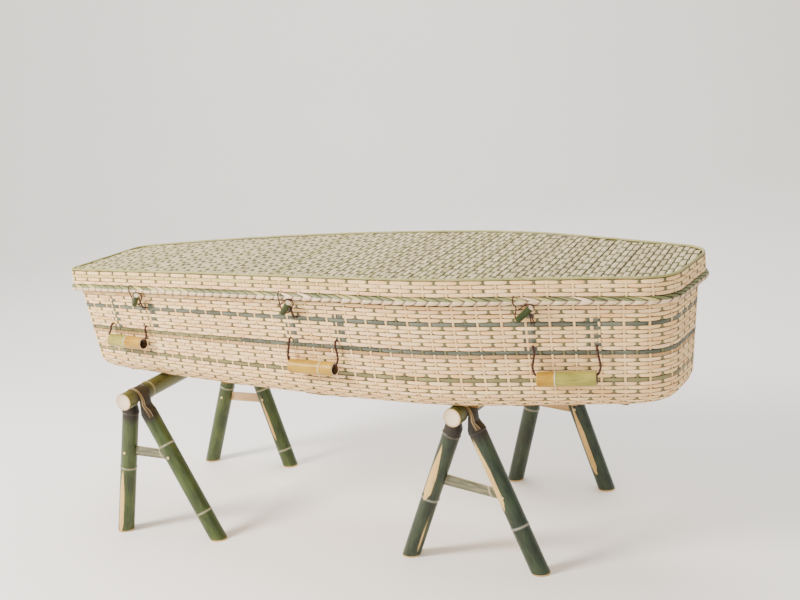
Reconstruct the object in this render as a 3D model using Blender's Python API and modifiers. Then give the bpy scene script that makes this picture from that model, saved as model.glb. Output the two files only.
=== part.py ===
"""A woven bamboo coffin with a lift-off lid, resting on two trestles of bent bamboo.

Metres, +Z up. The origin is on the floor in the middle of the footprint. The head end is at +X,
the foot end at -X, and the front is the side towards -Y.
"""

import math

import bmesh
import bpy
from mathutils import Matrix, Vector

# Plan of the coffin, measured on the face of the lid
COFFIN_LENGTH = 1.95
FOOT_WIDTH = 0.35
SHOULDER_WIDTH = 0.62
HEAD_WIDTH = 0.34
SHOULDER_X = 0.195 * COFFIN_LENGTH
SIDE_BOW = 0.031
FOOT_CORNER_REACH = 0.035
SHOULDER_REACH = 0.14
HEAD_CORNER_REACH = 0.085

# Heights above the underside of the coffin
COFFIN_HEIGHT = 0.347
BRAID_TOP = 0.298
BRAID_HEIGHT = 0.023
LID_CROWN = 0.020
CROWN_X = 0.15

# Woven walls
WALL = 0.005
BASE = 0.008
BODY_SETBACK = 0.016
SIDE_SLOPE = 0.11
FOOT_SLOPE = 0.06
HEAD_SLOPE = 0.08
BOTTOM_RADIUS = 0.05
LID_PANEL = 0.008
RIM_CANE = 0.007
BRAID_OVERHANG = 0.006

# What touches keeps this gap
GAP = 0.0003

# Where the coffin stands on the trestles
TRESTLE_HEIGHT = 0.475
COFFIN_Y = -0.08

# Carrying handles. Each one's place is a share of the coffin's length, then a height
HANDLE_LENGTH = 0.15
HANDLE_RADIUS = 0.0192
HANDLE_BORE_RADIUS = 0.0150
HANDLE_NODE = 0.31
HANDLE_OFF_WALL = 0.0255
HANDLE_CORD = 0.0065
HANDLE_CORD_EXIT = 0.169
HANDLES = {"foot": (-0.3795, 0.119), "middle": (-0.0051, 0.098), "head": (0.3590, 0.091)}

# Toggles that hold the lid, placed by shares of the coffin's length
PEG_LENGTH = 0.058
PEG_RADIUS = 0.0082
PEG_OFF_WALL = 0.0245
TOGGLE_HEIGHT = 0.2565
TOGGLE_CORD = 0.0035
TIE_EXIT = 0.228
TOGGLES = {"foot": -0.3374, "middle": -0.0344, "head": 0.3159}

# Trestles
BAR_LENGTH = 0.74
BAR_RADIUS = 0.026
BAR_DISH = 0.004
LEG_RADIUS = 0.025
STRAP = 0.005
FRAME_OUT = 0.30
LEG_TOP_OUT = 0.030
LEG_TOP_DROP = 0.042
NODE_RIDGE = 0.0018
NODE_LENGTH = 0.007
CROSSBAR_DEPTH = 0.030
CROSSBAR_WALL = 0.005
CROSSBAR_BULGE = 0.004
DOWEL_RADIUS = 0.0045
DOWEL_DEPTH = 0.012
DOWEL_PROUD = 0.002

# Each trestle: its place as a share of the coffin's length and in metres across, its turn in degrees,
# and for each frame the reach of the left and right feet from the bar, the crossbar's height at its
# left and right ends, and the heights of the nodes
TRESTLES = {
    "foot": {
        "place": (-0.3615, -0.05),
        "turn": 5.0,
        "bar_nodes": (-0.245, 0.205),
        "front": {
            "feet": (-0.120, 0.224),
            "crossbar": (0.268, 0.262),
            "nodes": ((0.215, 0.395), (0.085, 0.296)),
        },
        "back": {
            "feet": (-0.180, 0.140),
            "crossbar": (0.246, 0.244),
            "nodes": ((0.280,), (0.060, 0.276)),
        },
    },
    "head": {
        "place": (0.195, 0.05),
        "turn": 0.0,
        "bar_nodes": (0.170,),
        "front": {
            "feet": (-0.210, 0.190),
            "crossbar": (0.240, 0.216),
            "nodes": ((0.185, 0.378), (0.130, 0.392)),
        },
        "back": {
            "feet": (-0.155, 0.155),
            "crossbar": (0.272, 0.260),
            "nodes": ((0.249,), (0.292,)),
        },
    },
}

# How finely round forms are divided
SIDE_STEPS = 7
CORNER_STEPS = 3
LINE_STEPS = 3
CANE_SIDES = 8
CULM_SIDES = 10
BAR_SIDES = 12
BOTTOM_STEPS = 3

BAR_Z = TRESTLE_HEIGHT - GAP - BAR_RADIUS
HALF_LENGTH = COFFIN_LENGTH / 2
BRAID_BOTTOM = BRAID_TOP - BRAID_HEIGHT
PANEL_TOP = COFFIN_HEIGHT - 7 * RIM_CANE / 12
PANEL_UNDERSIDE = PANEL_TOP - LID_PANEL
BODY_RIM = PANEL_UNDERSIDE - GAP


def material(name, colour, roughness):
    """A plain shader of the piece's own colour."""
    made = bpy.data.materials.new(name)
    made.use_nodes = True
    shader = made.node_tree.nodes["Principled BSDF"]
    shader.inputs["Base Color"].default_value = (*colour, 1.0)
    shader.inputs["Roughness"].default_value = roughness
    shader.inputs["Metallic"].default_value = 0.0
    return made


def add_mesh(name, mesh_builder, skin, parent=None):
    """Turns a bmesh into a named object with outward normals and smooth round faces."""
    bmesh.ops.recalc_face_normals(mesh_builder, faces=mesh_builder.faces)
    mesh = bpy.data.meshes.new(name)
    mesh_builder.to_mesh(mesh)
    mesh_builder.free()
    mesh.shade_smooth()
    mesh.set_sharp_from_angle(angle=math.radians(40))
    piece = bpy.data.objects.new(name, mesh)
    mesh.materials.append(skin)
    parts.objects.link(piece)
    piece.parent = parent
    return piece


def loft(name, rings, skin, parent=None, ends="flat"):
    """Skins a row of rings. The ends are one flat face each, a ladder across the plan, or joined."""
    builder = bmesh.new()
    loops = [[builder.verts.new(point) for point in ring] for ring in rings]
    count = len(loops[0])
    following = loops[1:] + (loops[:1] if ends == "joined" else [])
    for ring, after in zip(loops, following):
        for i in range(count):
            j = (i + 1) % count
            builder.faces.new((ring[i], ring[j], after[j], after[i]))
    if ends == "flat":
        builder.faces.new(loops[0])
        builder.faces.new(loops[-1])
    if ends == "ladder":
        for ring in (loops[0], loops[-1]):
            for i in range(count // 2 - 1):
                builder.faces.new((ring[i], ring[i + 1], ring[-i - 2], ring[-i - 1]))
    return add_mesh(name, builder, skin, parent)


def turned(name, profile, sides, skin, parent=None):
    """A profile of (radius, height) points, from the top down its outer side, turned round Z."""
    mesh = bpy.data.meshes.new(name)
    closed = profile[0][0] > 0
    count = len(profile)
    edges = [(i, (i + 1) % count) for i in range(count if closed else count - 1)]
    mesh.from_pydata([(radius, 0, height) for radius, height in profile], edges, [])
    mesh.materials.append(skin)
    piece = bpy.data.objects.new(name, mesh)
    parts.objects.link(piece)
    piece.parent = parent
    screw = piece.modifiers.new("Turn", "SCREW")
    screw.steps = screw.render_steps = sides
    screw.use_merge_vertices = True
    screw.merge_threshold = 0.00005
    screw.use_smooth_shade = True
    return piece


def quadratic(a, b, c, t):
    return a * (1 - t) ** 2 + b * (2 * t * (1 - t)) + c * t**2


def half_plan(side, foot, head):
    """Front half of the plan, from foot to head, moved in from the lid's face at sides and ends."""
    heel = Vector((-HALF_LENGTH + foot, side - FOOT_WIDTH / 2))
    shoulder = Vector((SHOULDER_X, side - SHOULDER_WIDTH / 2))
    crown = Vector((HALF_LENGTH - head, side - HEAD_WIDTH / 2))
    belly = (heel + shoulder) / 2 - Vector((0, 2 * SIDE_BOW))
    long_side = (shoulder - heel).length
    short_side = (crown - shoulder).length

    def on_side(t):
        return quadratic(heel, belly, shoulder, t)

    start = FOOT_CORNER_REACH / long_side
    end = 1 - SHOULDER_REACH / long_side
    past = shoulder.lerp(crown, SHOULDER_REACH / short_side)
    before = shoulder.lerp(crown, 1 - HEAD_CORNER_REACH / short_side)
    foot_end = heel + Vector((0, FOOT_CORNER_REACH))
    head_end = crown + Vector((0, HEAD_CORNER_REACH))
    steps = [i / CORNER_STEPS for i in range(CORNER_STEPS)]
    points = [quadratic(foot_end, heel, on_side(start), t) for t in steps]
    points += [on_side(start + (end - start) * i / SIDE_STEPS) for i in range(SIDE_STEPS)]
    points += [quadratic(on_side(end), shoulder, past, t) for t in steps]
    points += [past.lerp(before, i / LINE_STEPS) for i in range(LINE_STEPS)]
    points += [quadratic(before, crown, head_end, t) for t in steps]
    return points + [head_end]


def lift(x, z):
    """The lid is arched along its length, and the rows of the body follow it less and less."""
    share = min(max(z / BRAID_BOTTOM, 0), 1)
    return LID_CROWN * (1 - ((x - CROWN_X) / HALF_LENGTH) ** 2) * share


def plan_ring(z, side, foot=None, head=None):
    foot = side if foot is None else foot
    head = side if head is None else head
    front = half_plan(side, foot, head)
    outline = front + [Vector((p.x, -p.y)) for p in reversed(front)]
    return [Vector((p.x, p.y, z + lift(p.x, z))) for p in outline]


def body_setbacks(z, wall=0.0):
    """How far the body's outer face is in from the lid's face, at the sides, foot and head."""
    below = max(BRAID_BOTTOM - z, 0)
    radius = BOTTOM_RADIUS - wall
    up = min(z - (BASE if wall else 0), radius)
    round_in = radius - math.sqrt(max(radius**2 - (radius - up) ** 2, 0))
    return [BODY_SETBACK + wall + slope * below + round_in for slope in (SIDE_SLOPE, FOOT_SLOPE, HEAD_SLOPE)]


def wall_point(x, z, out, face):
    """A point off the outside at this height. The front face is -1 and the back is 1."""
    if z < BRAID_BOTTOM:
        front = half_plan(*body_setbacks(z))
    elif z < BRAID_TOP:
        front = half_plan(*[-BRAID_OVERHANG] * 3)
    else:
        front = half_plan(0.0, 0.0, 0.0)
    for a, b in zip(front, front[1:]):
        if a.x <= x <= b.x and b.x > a.x:
            on_wall = a.lerp(b, (x - a.x) / (b.x - a.x))
            along = (b - a).normalized()
            break
    on_wall += Vector((along.y, -along.x)) * out
    return Vector((on_wall.x, -face * on_wall.y, z + lift(x, z)))


def wall_frame(x, z, off_wall, face):
    """Origin and axes at the wall: along it to the head, up, and straight out."""
    centre = wall_point(x, z, off_wall, face)
    along = wall_point(x + 0.01, z, off_wall, face) - wall_point(x - 0.01, z, off_wall, face)
    along.z = 0
    along.normalize()
    up = Vector((0, 0, 1))
    out = up.cross(along) if face > 0 else along.cross(up)
    return centre, along, up, out


def leave_wall(x, z, face):
    """The first two points of a cord that comes square out of the wall."""
    tilt = SIDE_SLOPE if z < BRAID_BOTTOM else 0.0
    return [wall_point(x, z, 0.0016, face), wall_point(x, z - tilt * 0.0034, 0.0050, face)]


def cord(name, route, diameter, skin, parent):
    """A tube on a smooth curve through the route's points."""
    points = smooth_route(route)
    curve = bpy.data.curves.new(name, "CURVE")
    curve.dimensions = "3D"
    curve.bevel_depth = diameter / 2
    curve.bevel_resolution = 2
    curve.use_fill_caps = True
    spline = curve.splines.new("POLY")
    spline.points.add(len(points) - 1)
    for place, point in zip(spline.points, points):
        place.co = (*point, 1)
    curve.materials.append(skin)
    piece = bpy.data.objects.new(name, curve)
    parts.objects.link(piece)
    piece.parent = parent
    return piece


def heading(a, b, c):
    """The way a smooth curve through these three points runs at the middle one."""
    before, after = b - a, c - b
    mean = before.normalized() * after.length + after.normalized() * before.length
    return mean / (before.length + after.length)


def smooth_route(route, turn=42):
    """Points on a smooth curve through the route, one for each turn of so many degrees."""
    ends = [2 * route[0] - route[1], *route, 2 * route[-1] - route[-2]]
    fine = []
    for a, b, c, d in zip(ends, ends[1:], ends[2:], ends[3:]):
        pull = (c - b).length
        for i in range(10):
            t = i / 10
            fine.append(
                b * (2 * t**3 - 3 * t**2 + 1)
                + heading(a, b, c) * pull * (t**3 - 2 * t**2 + t)
                + c * (3 * t**2 - 2 * t**3)
                + heading(b, c, d) * pull * (t**3 - t**2)
            )
    fine.append(route[-1])
    points = [fine[0]]
    turned_by = 0.0
    for i in range(1, len(fine) - 1):
        turned_by += (fine[i] - fine[i - 1]).angle(fine[i + 1] - fine[i])
        if turned_by > math.radians(turn) or i in (10, len(fine) - 11):
            points.append(fine[i])
            turned_by = 0.0
    return points + [fine[-1]]


def build_body(parent):
    """One woven tub: out over the base, up the wall, over the rim and down inside."""
    outer = []
    for i in range(BOTTOM_STEPS + 1):
        z = BOTTOM_RADIUS * (1 - math.cos(math.pi / 2 * i / BOTTOM_STEPS))
        outer.append(plan_ring(z, *body_setbacks(z)))
    outer.append(plan_ring(BRAID_BOTTOM, *body_setbacks(BRAID_BOTTOM)))
    outer.append(plan_ring(BODY_RIM, *body_setbacks(BODY_RIM)))
    inner = [plan_ring(BODY_RIM, *body_setbacks(BODY_RIM, WALL))]
    inner.append(plan_ring(BRAID_BOTTOM, *body_setbacks(BRAID_BOTTOM, WALL)))
    radius = BOTTOM_RADIUS - WALL
    for i in range(BOTTOM_STEPS, -1, -1):
        z = BASE + radius * (1 - math.cos(math.pi / 2 * i / BOTTOM_STEPS))
        inner.append(plan_ring(z, *body_setbacks(z, WALL)))
    return loft("coffin_body", outer + inner, cream_weave, parent, "ladder")


def build_lid(parent):
    """The woven top and the band round it, with a step for the cane along the edge."""
    step_z = COFFIN_HEIGHT - RIM_CANE - GAP
    sections = [
        (PANEL_UNDERSIDE, WALL),
        (BRAID_TOP + GAP, WALL),
        (BRAID_TOP + GAP, 0.0),
        (step_z, 0.0),
        (step_z, RIM_CANE + GAP),
        (PANEL_TOP, RIM_CANE + GAP),
    ]
    rings = [shifted_ring(z, side) for z, side in sections]
    return loft("coffin_lid", rings, cream_weave, parent, "ladder")


def shifted_ring(z, side):
    """A ring of the lid, which keeps its own height and is only arched."""
    return [Vector((p.x, p.y, z + lift(p.x, COFFIN_HEIGHT))) for p in plan_ring(z, side)]


def edge_ring(name, z, side, height, width, skin, parent):
    """A round cane or border that runs all the way round the lid."""
    rings = []
    for i in range(CANE_SIDES):
        angle = 2 * math.pi * (i + 0.5) / CANE_SIDES
        stretch = 1 / math.cos(math.pi / CANE_SIDES)
        at_side = side + width / 2 * stretch * math.cos(angle)
        at_z = z + height / 2 * stretch * math.sin(angle)
        rings.append(shifted_ring(at_z, at_side))
    return loft(name, rings, skin, parent, "joined")


def build_handle(place, x, z, face, parent):
    """A short tube of bamboo with one node ring, hung in a loop of cord."""
    side = "front" if face < 0 else "back"
    centre, along, up, out = wall_frame(x, z, HANDLE_OFF_WALL, face)
    half = HANDLE_LENGTH / 2
    node = half - HANDLE_NODE * HANDLE_LENGTH
    round_off = 0.0012
    profile = [
        (HANDLE_BORE_RADIUS, half),
        (HANDLE_RADIUS - round_off, half),
        (HANDLE_RADIUS, half - round_off),
        (HANDLE_RADIUS, node + NODE_LENGTH / 2),
        (HANDLE_RADIUS + NODE_RIDGE / 2, node),
        (HANDLE_RADIUS, node - NODE_LENGTH / 2),
        (HANDLE_RADIUS, round_off - half),
        (HANDLE_RADIUS - round_off, -half),
        (HANDLE_BORE_RADIUS, -half),
    ]
    tube = turned(f"handle_{side}_{place}", profile, CULM_SIDES, amber_culm, parent)
    tube.matrix_local = Matrix.Translation(centre) @ Matrix((up, out, -along)).transposed().to_4x4()

    rise = HANDLE_CORD_EXIT - z
    wall = SIDE_SLOPE * rise - HANDLE_OFF_WALL
    rest = HANDLE_BORE_RADIUS - HANDLE_CORD / 2 - 0.002
    route = []
    for sign in (-1, 1):
        hang = [
            (half + 0.004, rise - 0.0060, wall + 0.0095),
            (half + 0.008, 0.60 * rise, 0.45 * wall + 0.0010),
            (half + 0.010, 0.25 * rise + 0.75 * rest, 0.20 * wall),
            (half + 0.002, rest + 0.001, 0.0),
            (half - 0.014, rest, 0.0),
        ]
        exit_x = x + sign * (half + 0.003)
        strand = leave_wall(exit_x, HANDLE_CORD_EXIT, face)
        strand += [centre + along * (sign * u) + up * v + out * w for u, v, w in hang]
        if sign > 0:
            strand = [centre + up * (rest - 0.0005)] + strand[::-1]
        route += strand
    cord(f"handle_cord_{side}_{place}", route, HANDLE_CORD, brown_cord, parent)


def build_toggle(place, x, face, parent):
    """A peg held slantwise in a loop that hangs from the lid, and tied to the body below."""
    side = "front" if face < 0 else "back"
    centre, along, up, out = wall_frame(x, TOGGLE_HEIGHT, PEG_OFF_WALL, face)
    axis = (along * 0.040 + up * 0.036 + out * 0.020).normalized()
    across = (up * 0.040 - along * 0.036).normalized()
    behind = axis.cross(across).normalized()
    if behind.dot(out) > 0:
        behind = -behind
    half = PEG_LENGTH / 2
    bevel = 0.001
    profile = [
        (0, half),
        (PEG_RADIUS - bevel, half),
        (PEG_RADIUS, half - bevel),
        (PEG_RADIUS, bevel - half),
        (PEG_RADIUS - bevel, -half),
        (0, -half),
    ]
    peg = turned(f"toggle_peg_{side}_{place}", profile, CULM_SIDES, dark_culm, parent)
    sideways = across.cross(axis)
    peg.matrix_local = Matrix.Translation(centre) @ Matrix((across, -sideways, axis)).transposed().to_4x4()

    # From the seam of lid and border, over the border, down to the knot
    over = TOGGLE_CORD / 2 + 0.0024
    seam = BRAID_TOP + TOGGLE_CORD / 2 + 2 * GAP
    fall = [
        (BRAID_TOP - 0.0030, over),
        (BRAID_TOP - 0.0130, over + 0.0004),
        (BRAID_BOTTOM - 0.0010, PEG_OFF_WALL - 0.0010),
    ]
    # The loop goes round the peg's two ends and behind it: along the peg, across it, behind it
    round_peg = [
        (-0.014, 0.0190, 0.001),
        (-0.026, 0.0130, 0.003),
        (-0.0355, 0.0005, 0.007),
        (-0.0295, -0.0060, 0.0135),
        (-0.0100, -0.0070, 0.0155),
        (0.0100, -0.0060, 0.0155),
        (0.0280, -0.0040, 0.012),
        (0.0345, 0.0030, 0.006),
        (0.0280, 0.0120, 0.002),
        (0.0120, 0.0160, 0.002),
        (0.0000, 0.0170, 0.002),
        (-0.0075, 0.0190, 0.0005),
    ]
    route = leave_wall(x - 0.019, seam, face)
    route += [wall_point(x - 0.019, z, out_of_wall, face) for z, out_of_wall in fall]
    route += [centre + axis * u + across * v + behind * w for u, v, w in round_peg]
    cord(f"toggle_loop_{side}_{place}", route, TOGGLE_CORD, brown_cord, parent)

    # The tie comes out of the body and ends under the peg's middle
    under = PEG_RADIUS + TOGGLE_CORD / 2 + GAP
    rise = [(0.0050, -under - 0.0050, 0.0085), (0.0035, -under, 0.0010)]
    route = leave_wall(x + 0.0135, TIE_EXIT, face)
    route += [centre + axis * u + across * v + behind * w for u, v, w in rise]
    cord(f"toggle_tie_{side}_{place}", route, TOGGLE_CORD, brown_cord, parent)


def build_bar(name, nodes, parent):
    """The top bar: a culm cut just past a node at each end, with a groove for each bent leg."""
    half = BAR_LENGTH / 2
    groove = BAR_RADIUS - STRAP - GAP
    shoulder = 0.0025
    rise = [
        (half - BAR_DISH, 0.0),
        (half - BAR_DISH * 0.55, BAR_RADIUS * 0.55),
        (half, BAR_RADIUS * 0.84),
        (half, BAR_RADIUS - 0.0012),
        (half - 0.0012, BAR_RADIUS),
    ]
    profile = [(radius, height) for height, radius in rise]
    events = []
    for at in nodes:
        ridge = [(NODE_LENGTH / 2, 0.0), (0.0, NODE_RIDGE), (-NODE_LENGTH / 2, 0.0)]
        events.append((at, [(BAR_RADIUS + more, at + off) for off, more in ridge]))
    for at in (-FRAME_OUT, FRAME_OUT):
        edge = LEG_RADIUS + GAP
        walls = [
            (BAR_RADIUS, at + edge + shoulder),
            (groove, at + edge),
            (groove, at - edge),
            (BAR_RADIUS, at - edge - shoulder),
        ]
        events.append((at, walls))
    for _, points in sorted(events, key=lambda event: -event[0]):
        profile += points
    profile += [(radius, -height) for height, radius in reversed(rise)]
    bar = turned(name, profile, BAR_SIDES, olive_culm, parent)
    bar.location = (0, 0, BAR_Z)
    bar.rotation_euler = (math.radians(-90), 0, 0)
    return bar


def leg_line(reach):
    """Top and foot of a leg's axis, in the plane of its frame."""
    sign = math.copysign(1, reach)
    top = Vector((sign * LEG_TOP_OUT, BAR_Z - LEG_TOP_DROP))
    return top, Vector((reach, 0.0))


def leg_inner_x(reach, z):
    """Where the inner side of a leg is at this height."""
    top, foot = leg_line(reach)
    axis = (foot - top).normalized()
    x = foot.x + (top.x - foot.x) * z / top.y
    return x - math.copysign(LEG_RADIUS / abs(axis.y), reach)


def leg_sections(reach, nodes):
    """Pairs of inner and outer points and a half width, from the bar down to the floor."""
    top, foot = leg_line(reach)
    axis = (foot - top).normalized()
    outward = Vector((-axis.y, axis.x)) * math.copysign(1, reach)
    length = (foot - top).length
    sections = []
    stations = [(length * 0.02, 0.0)]
    for height in sorted(nodes, reverse=True):
        at = length * (1 - height / top.y)
        stations += [(at - NODE_LENGTH / 2, 0.0), (at, NODE_RIDGE), (at + NODE_LENGTH / 2, 0.0)]
    for at, ridge in stations:
        centre = top + axis * at
        radius = LEG_RADIUS + ridge
        sections.append((centre - outward * radius, centre + outward * radius, radius))
    flat = Vector((LEG_RADIUS / abs(axis.y) * math.copysign(1, reach), 0))
    sections.append((foot - flat, foot + flat, LEG_RADIUS))
    return sections


def build_frame(name, feet, nodes, y, parent):
    """Two legs in one culm, thinned to a strap where it is bent over the bar."""
    inner = BAR_RADIUS - STRAP
    # Polar angle round the bar and the outer radius of the culm there
    saddle = [(0, 0.0), (30, 0.0), (60, 0.0010), (90, 0.0060), (112, 0.0140), (128, 0.0230)]
    over_bar = []
    for sign in (-1, 1):
        for degrees, more in saddle[::-1] if sign < 0 else saddle[1:]:
            angle = math.radians(degrees)
            ray = Vector((sign * math.sin(angle), math.cos(angle)))
            centre = Vector((0, BAR_Z))
            outer = BAR_RADIUS + more
            over_bar.append((centre + ray * inner, centre + ray * outer, LEG_RADIUS))
    left = leg_sections(feet[0], nodes[0])
    right = leg_sections(feet[1], nodes[1])
    rings = []
    for inside, outside, half_width in left[::-1] + over_bar + right:
        middle = (inside + outside) / 2
        reach = (outside - inside) / 2
        ring = []
        for i in range(CULM_SIDES):
            angle = 2 * math.pi * i / CULM_SIDES
            point = middle + reach * math.cos(angle)
            ring.append(Vector((point.x, y + half_width * math.sin(angle), point.y)))
        rings.append(ring)
    return loft(name, rings, green_culm, parent)


def build_crossbar(name, feet, heights, y, face, parent):
    """A strip of split culm between the legs, its outer skin towards the outside."""
    rings = []
    for reach, height in zip(feet, heights):
        ring = []
        for layer, order in ((0.0, (-1, -0.5, 0, 0.5, 1)), (CROSSBAR_WALL, (1, 0.5, 0, -0.5, -1))):
            for share in order:
                z = height + share * CROSSBAR_DEPTH / 2
                bulge = CROSSBAR_BULGE * (1 - share**2) - layer
                x = leg_inner_x(reach, z) - math.copysign(2 * GAP, reach)
                ring.append(Vector((x, y + face * bulge, z)))
        rings.append(ring)
    return loft(name, rings, split_culm, parent)


def build_dowels(name, feet, heights, y, parent, frame):
    """Round pegs driven into the legs at the ends of the crossbar."""
    for reach, height, word in zip(feet, heights, ("left", "right")):
        top, foot = leg_line(reach)
        axis_x = foot.x + (top.x - foot.x) * height / top.y
        face_y = y - LEG_RADIUS
        hole = turned(f"{name}_hole_{word}", dowel_profile(GAP), CULM_SIDES, pale_wood, parent)
        hole.location = (axis_x, face_y, height)
        hole.rotation_euler = (math.radians(90), 0, 0)
        hole.hide_render = True
        hole.display_type = "WIRE"
        parts.objects.unlink(hole)
        cutters.objects.link(hole)
        cut = frame.modifiers.new(f"Hole {word}", "BOOLEAN")
        cut.object = hole
        cut.operation = "DIFFERENCE"
        cut.solver = "EXACT"
        dowel = turned(f"{name}_{word}", dowel_profile(0.0), CULM_SIDES, pale_wood, parent)
        dowel.location = hole.location
        dowel.rotation_euler = hole.rotation_euler


def dowel_profile(gap):
    """A plain round peg. With a gap it is the hole that takes the peg."""
    radius = DOWEL_RADIUS + gap
    top = DOWEL_PROUD * (2 if gap else 1)
    return [(0, top), (radius, top), (radius, -DOWEL_DEPTH - gap), (0, -DOWEL_DEPTH - gap)]


def build_trestle(place, values):
    holder = bpy.data.objects.new(f"{place}_trestle", None)
    parts.objects.link(holder)
    share, y = values["place"]
    holder.location = (share * COFFIN_LENGTH, y, 0)
    holder.rotation_euler = (0, 0, math.radians(values["turn"]))
    build_bar(f"{place}_trestle_bar", values["bar_nodes"], holder)
    for side, face in (("front", -1), ("back", 1)):
        made = values[side]
        y = face * FRAME_OUT
        name = f"{place}_trestle_{side}"
        frame = build_frame(f"{name}_legs", made["feet"], made["nodes"], y, holder)
        build_crossbar(f"{name}_crossbar", made["feet"], made["crossbar"], y, face, holder)
        build_dowels(f"{name}_dowel", made["feet"], made["crossbar"], y, holder, frame)


for old in list(bpy.data.objects):
    bpy.data.objects.remove(old, do_unlink=True)
parts = bpy.data.collections.new("Bamboo_Coffin")
cutters = bpy.data.collections.new("Cutters")
bpy.context.scene.collection.children.link(parts)
bpy.context.scene.collection.children.link(cutters)

cream_weave = material("Cream split bamboo", (0.72, 0.60, 0.44), 0.65)
rim_cane = material("Yellow green cane", (0.42, 0.36, 0.15), 0.5)
braid_strips = material("Green and cream braid", (0.50, 0.44, 0.27), 0.6)
amber_culm = material("Amber bamboo", (0.46, 0.33, 0.09), 0.4)
dark_culm = material("Dark green bamboo", (0.05, 0.08, 0.03), 0.45)
green_culm = material("Green bamboo", (0.06, 0.11, 0.06), 0.4)
olive_culm = material("Olive bamboo", (0.12, 0.14, 0.04), 0.4)
split_culm = material("Split bamboo", (0.45, 0.40, 0.28), 0.55)
pale_wood = material("Pale bamboo wood", (0.70, 0.58, 0.40), 0.6)
brown_cord = material("Brown cord", (0.09, 0.025, 0.012), 0.8)

coffin = bpy.data.objects.new("coffin", None)
parts.objects.link(coffin)
coffin.location = (0, COFFIN_Y, TRESTLE_HEIGHT)

build_body(coffin)
build_lid(coffin)
cane_z = COFFIN_HEIGHT - RIM_CANE / 2
edge_ring("lid_rim_cane", cane_z, RIM_CANE / 2, RIM_CANE, RIM_CANE, rim_cane, coffin)
braid_width = BODY_SETBACK - GAP + BRAID_OVERHANG
braid_side = (BODY_SETBACK - GAP - BRAID_OVERHANG) / 2
braid_z = (BRAID_TOP + BRAID_BOTTOM) / 2
edge_ring("lid_braided_border", braid_z, braid_side, BRAID_HEIGHT, braid_width, braid_strips, coffin)
for face in (-1, 1):
    for place, (share, z) in HANDLES.items():
        build_handle(place, share * COFFIN_LENGTH, z, face, coffin)
    for place, share in TOGGLES.items():
        build_toggle(place, share * COFFIN_LENGTH, face, coffin)
for place, values in TRESTLES.items():
    build_trestle(place, values)
bpy.context.view_layer.update()
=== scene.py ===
# %% [markdown]
# # A woven bamboo coffin resting on two trestles
# The coffin is a tapered tub of split bamboo under a lift-off lid. It stands on two trestles, each
# a thick culm with two legs bent over it. The solids give every size, and this lesson weaves the
# strips, bends the canes and finishes the surfaces on top of them.

# %% The solids, loaded as a fixed frame
import math

import bmesh
import bpy
import numpy as np
from mathutils import Matrix, Vector


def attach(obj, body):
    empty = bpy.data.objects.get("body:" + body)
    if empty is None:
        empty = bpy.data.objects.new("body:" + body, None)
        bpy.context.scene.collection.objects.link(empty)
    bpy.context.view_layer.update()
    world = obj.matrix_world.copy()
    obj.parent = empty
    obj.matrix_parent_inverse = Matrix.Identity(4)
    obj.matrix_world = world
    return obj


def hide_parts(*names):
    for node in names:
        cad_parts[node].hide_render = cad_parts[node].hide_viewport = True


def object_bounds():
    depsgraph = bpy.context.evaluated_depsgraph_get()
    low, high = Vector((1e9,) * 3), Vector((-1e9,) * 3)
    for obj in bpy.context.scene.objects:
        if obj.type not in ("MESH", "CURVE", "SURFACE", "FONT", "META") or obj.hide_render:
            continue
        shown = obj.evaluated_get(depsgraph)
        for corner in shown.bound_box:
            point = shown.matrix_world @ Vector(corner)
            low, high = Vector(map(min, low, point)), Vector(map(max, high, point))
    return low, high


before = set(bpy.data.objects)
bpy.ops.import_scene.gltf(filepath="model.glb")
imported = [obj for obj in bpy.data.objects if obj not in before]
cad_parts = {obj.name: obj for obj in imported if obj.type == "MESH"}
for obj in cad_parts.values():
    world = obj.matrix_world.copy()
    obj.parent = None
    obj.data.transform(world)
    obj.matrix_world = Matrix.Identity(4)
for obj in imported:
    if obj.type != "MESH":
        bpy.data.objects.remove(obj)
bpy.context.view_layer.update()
chance = np.random.default_rng(7)

# %% [markdown]
# ## The camera
# The photograph was taken from the head end's side, a little above the lid, with the camera tipped
# to one side. A camera's own axes are right, up and back, so they are built from a heading, a
# pitch and a roll, and written into its matrix.

# %% The camera
CAMERA_PLACE = (1.9164, -3.1212, 1.5313)
CAMERA_HEADING, CAMERA_PITCH, CAMERA_ROLL = -30.61, 13.22, -5.813
CAMERA_LENS = 36 * 1273 / 800


def photo_camera():
    yaw, pitch, roll = (math.radians(v) for v in (CAMERA_HEADING, CAMERA_PITCH, CAMERA_ROLL))
    ahead = Vector((math.sin(yaw) * math.cos(pitch), math.cos(yaw) * math.cos(pitch), -math.sin(pitch)))
    level = Vector((math.cos(yaw), -math.sin(yaw), 0))
    above = level.cross(ahead)
    right = level * math.cos(roll) + above * math.sin(roll)
    up = above * math.cos(roll) - level * math.sin(roll)
    data = bpy.data.cameras.new("photo_camera")
    data.lens = CAMERA_LENS
    data.sensor_width = 36
    camera = bpy.data.objects.new("photo_camera", data)
    bpy.context.scene.collection.objects.link(camera)
    camera.matrix_world = Matrix.Translation(CAMERA_PLACE) @ Matrix((right, up, -ahead)).transposed().to_4x4()
    bpy.context.scene.camera = camera
    return camera


camera = photo_camera()
print("lens", round(camera.data.lens, 1), "mm")

# %% [markdown]
# ## The coffin's form
# Every woven row follows the same outline, moved in by how much the wall leans at that height. The
# outline is six stretches, straight or softly curved, sampled finely. A place on the wall is then
# two numbers: how far round, counted in stakes, and how far down from the braided border.

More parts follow.
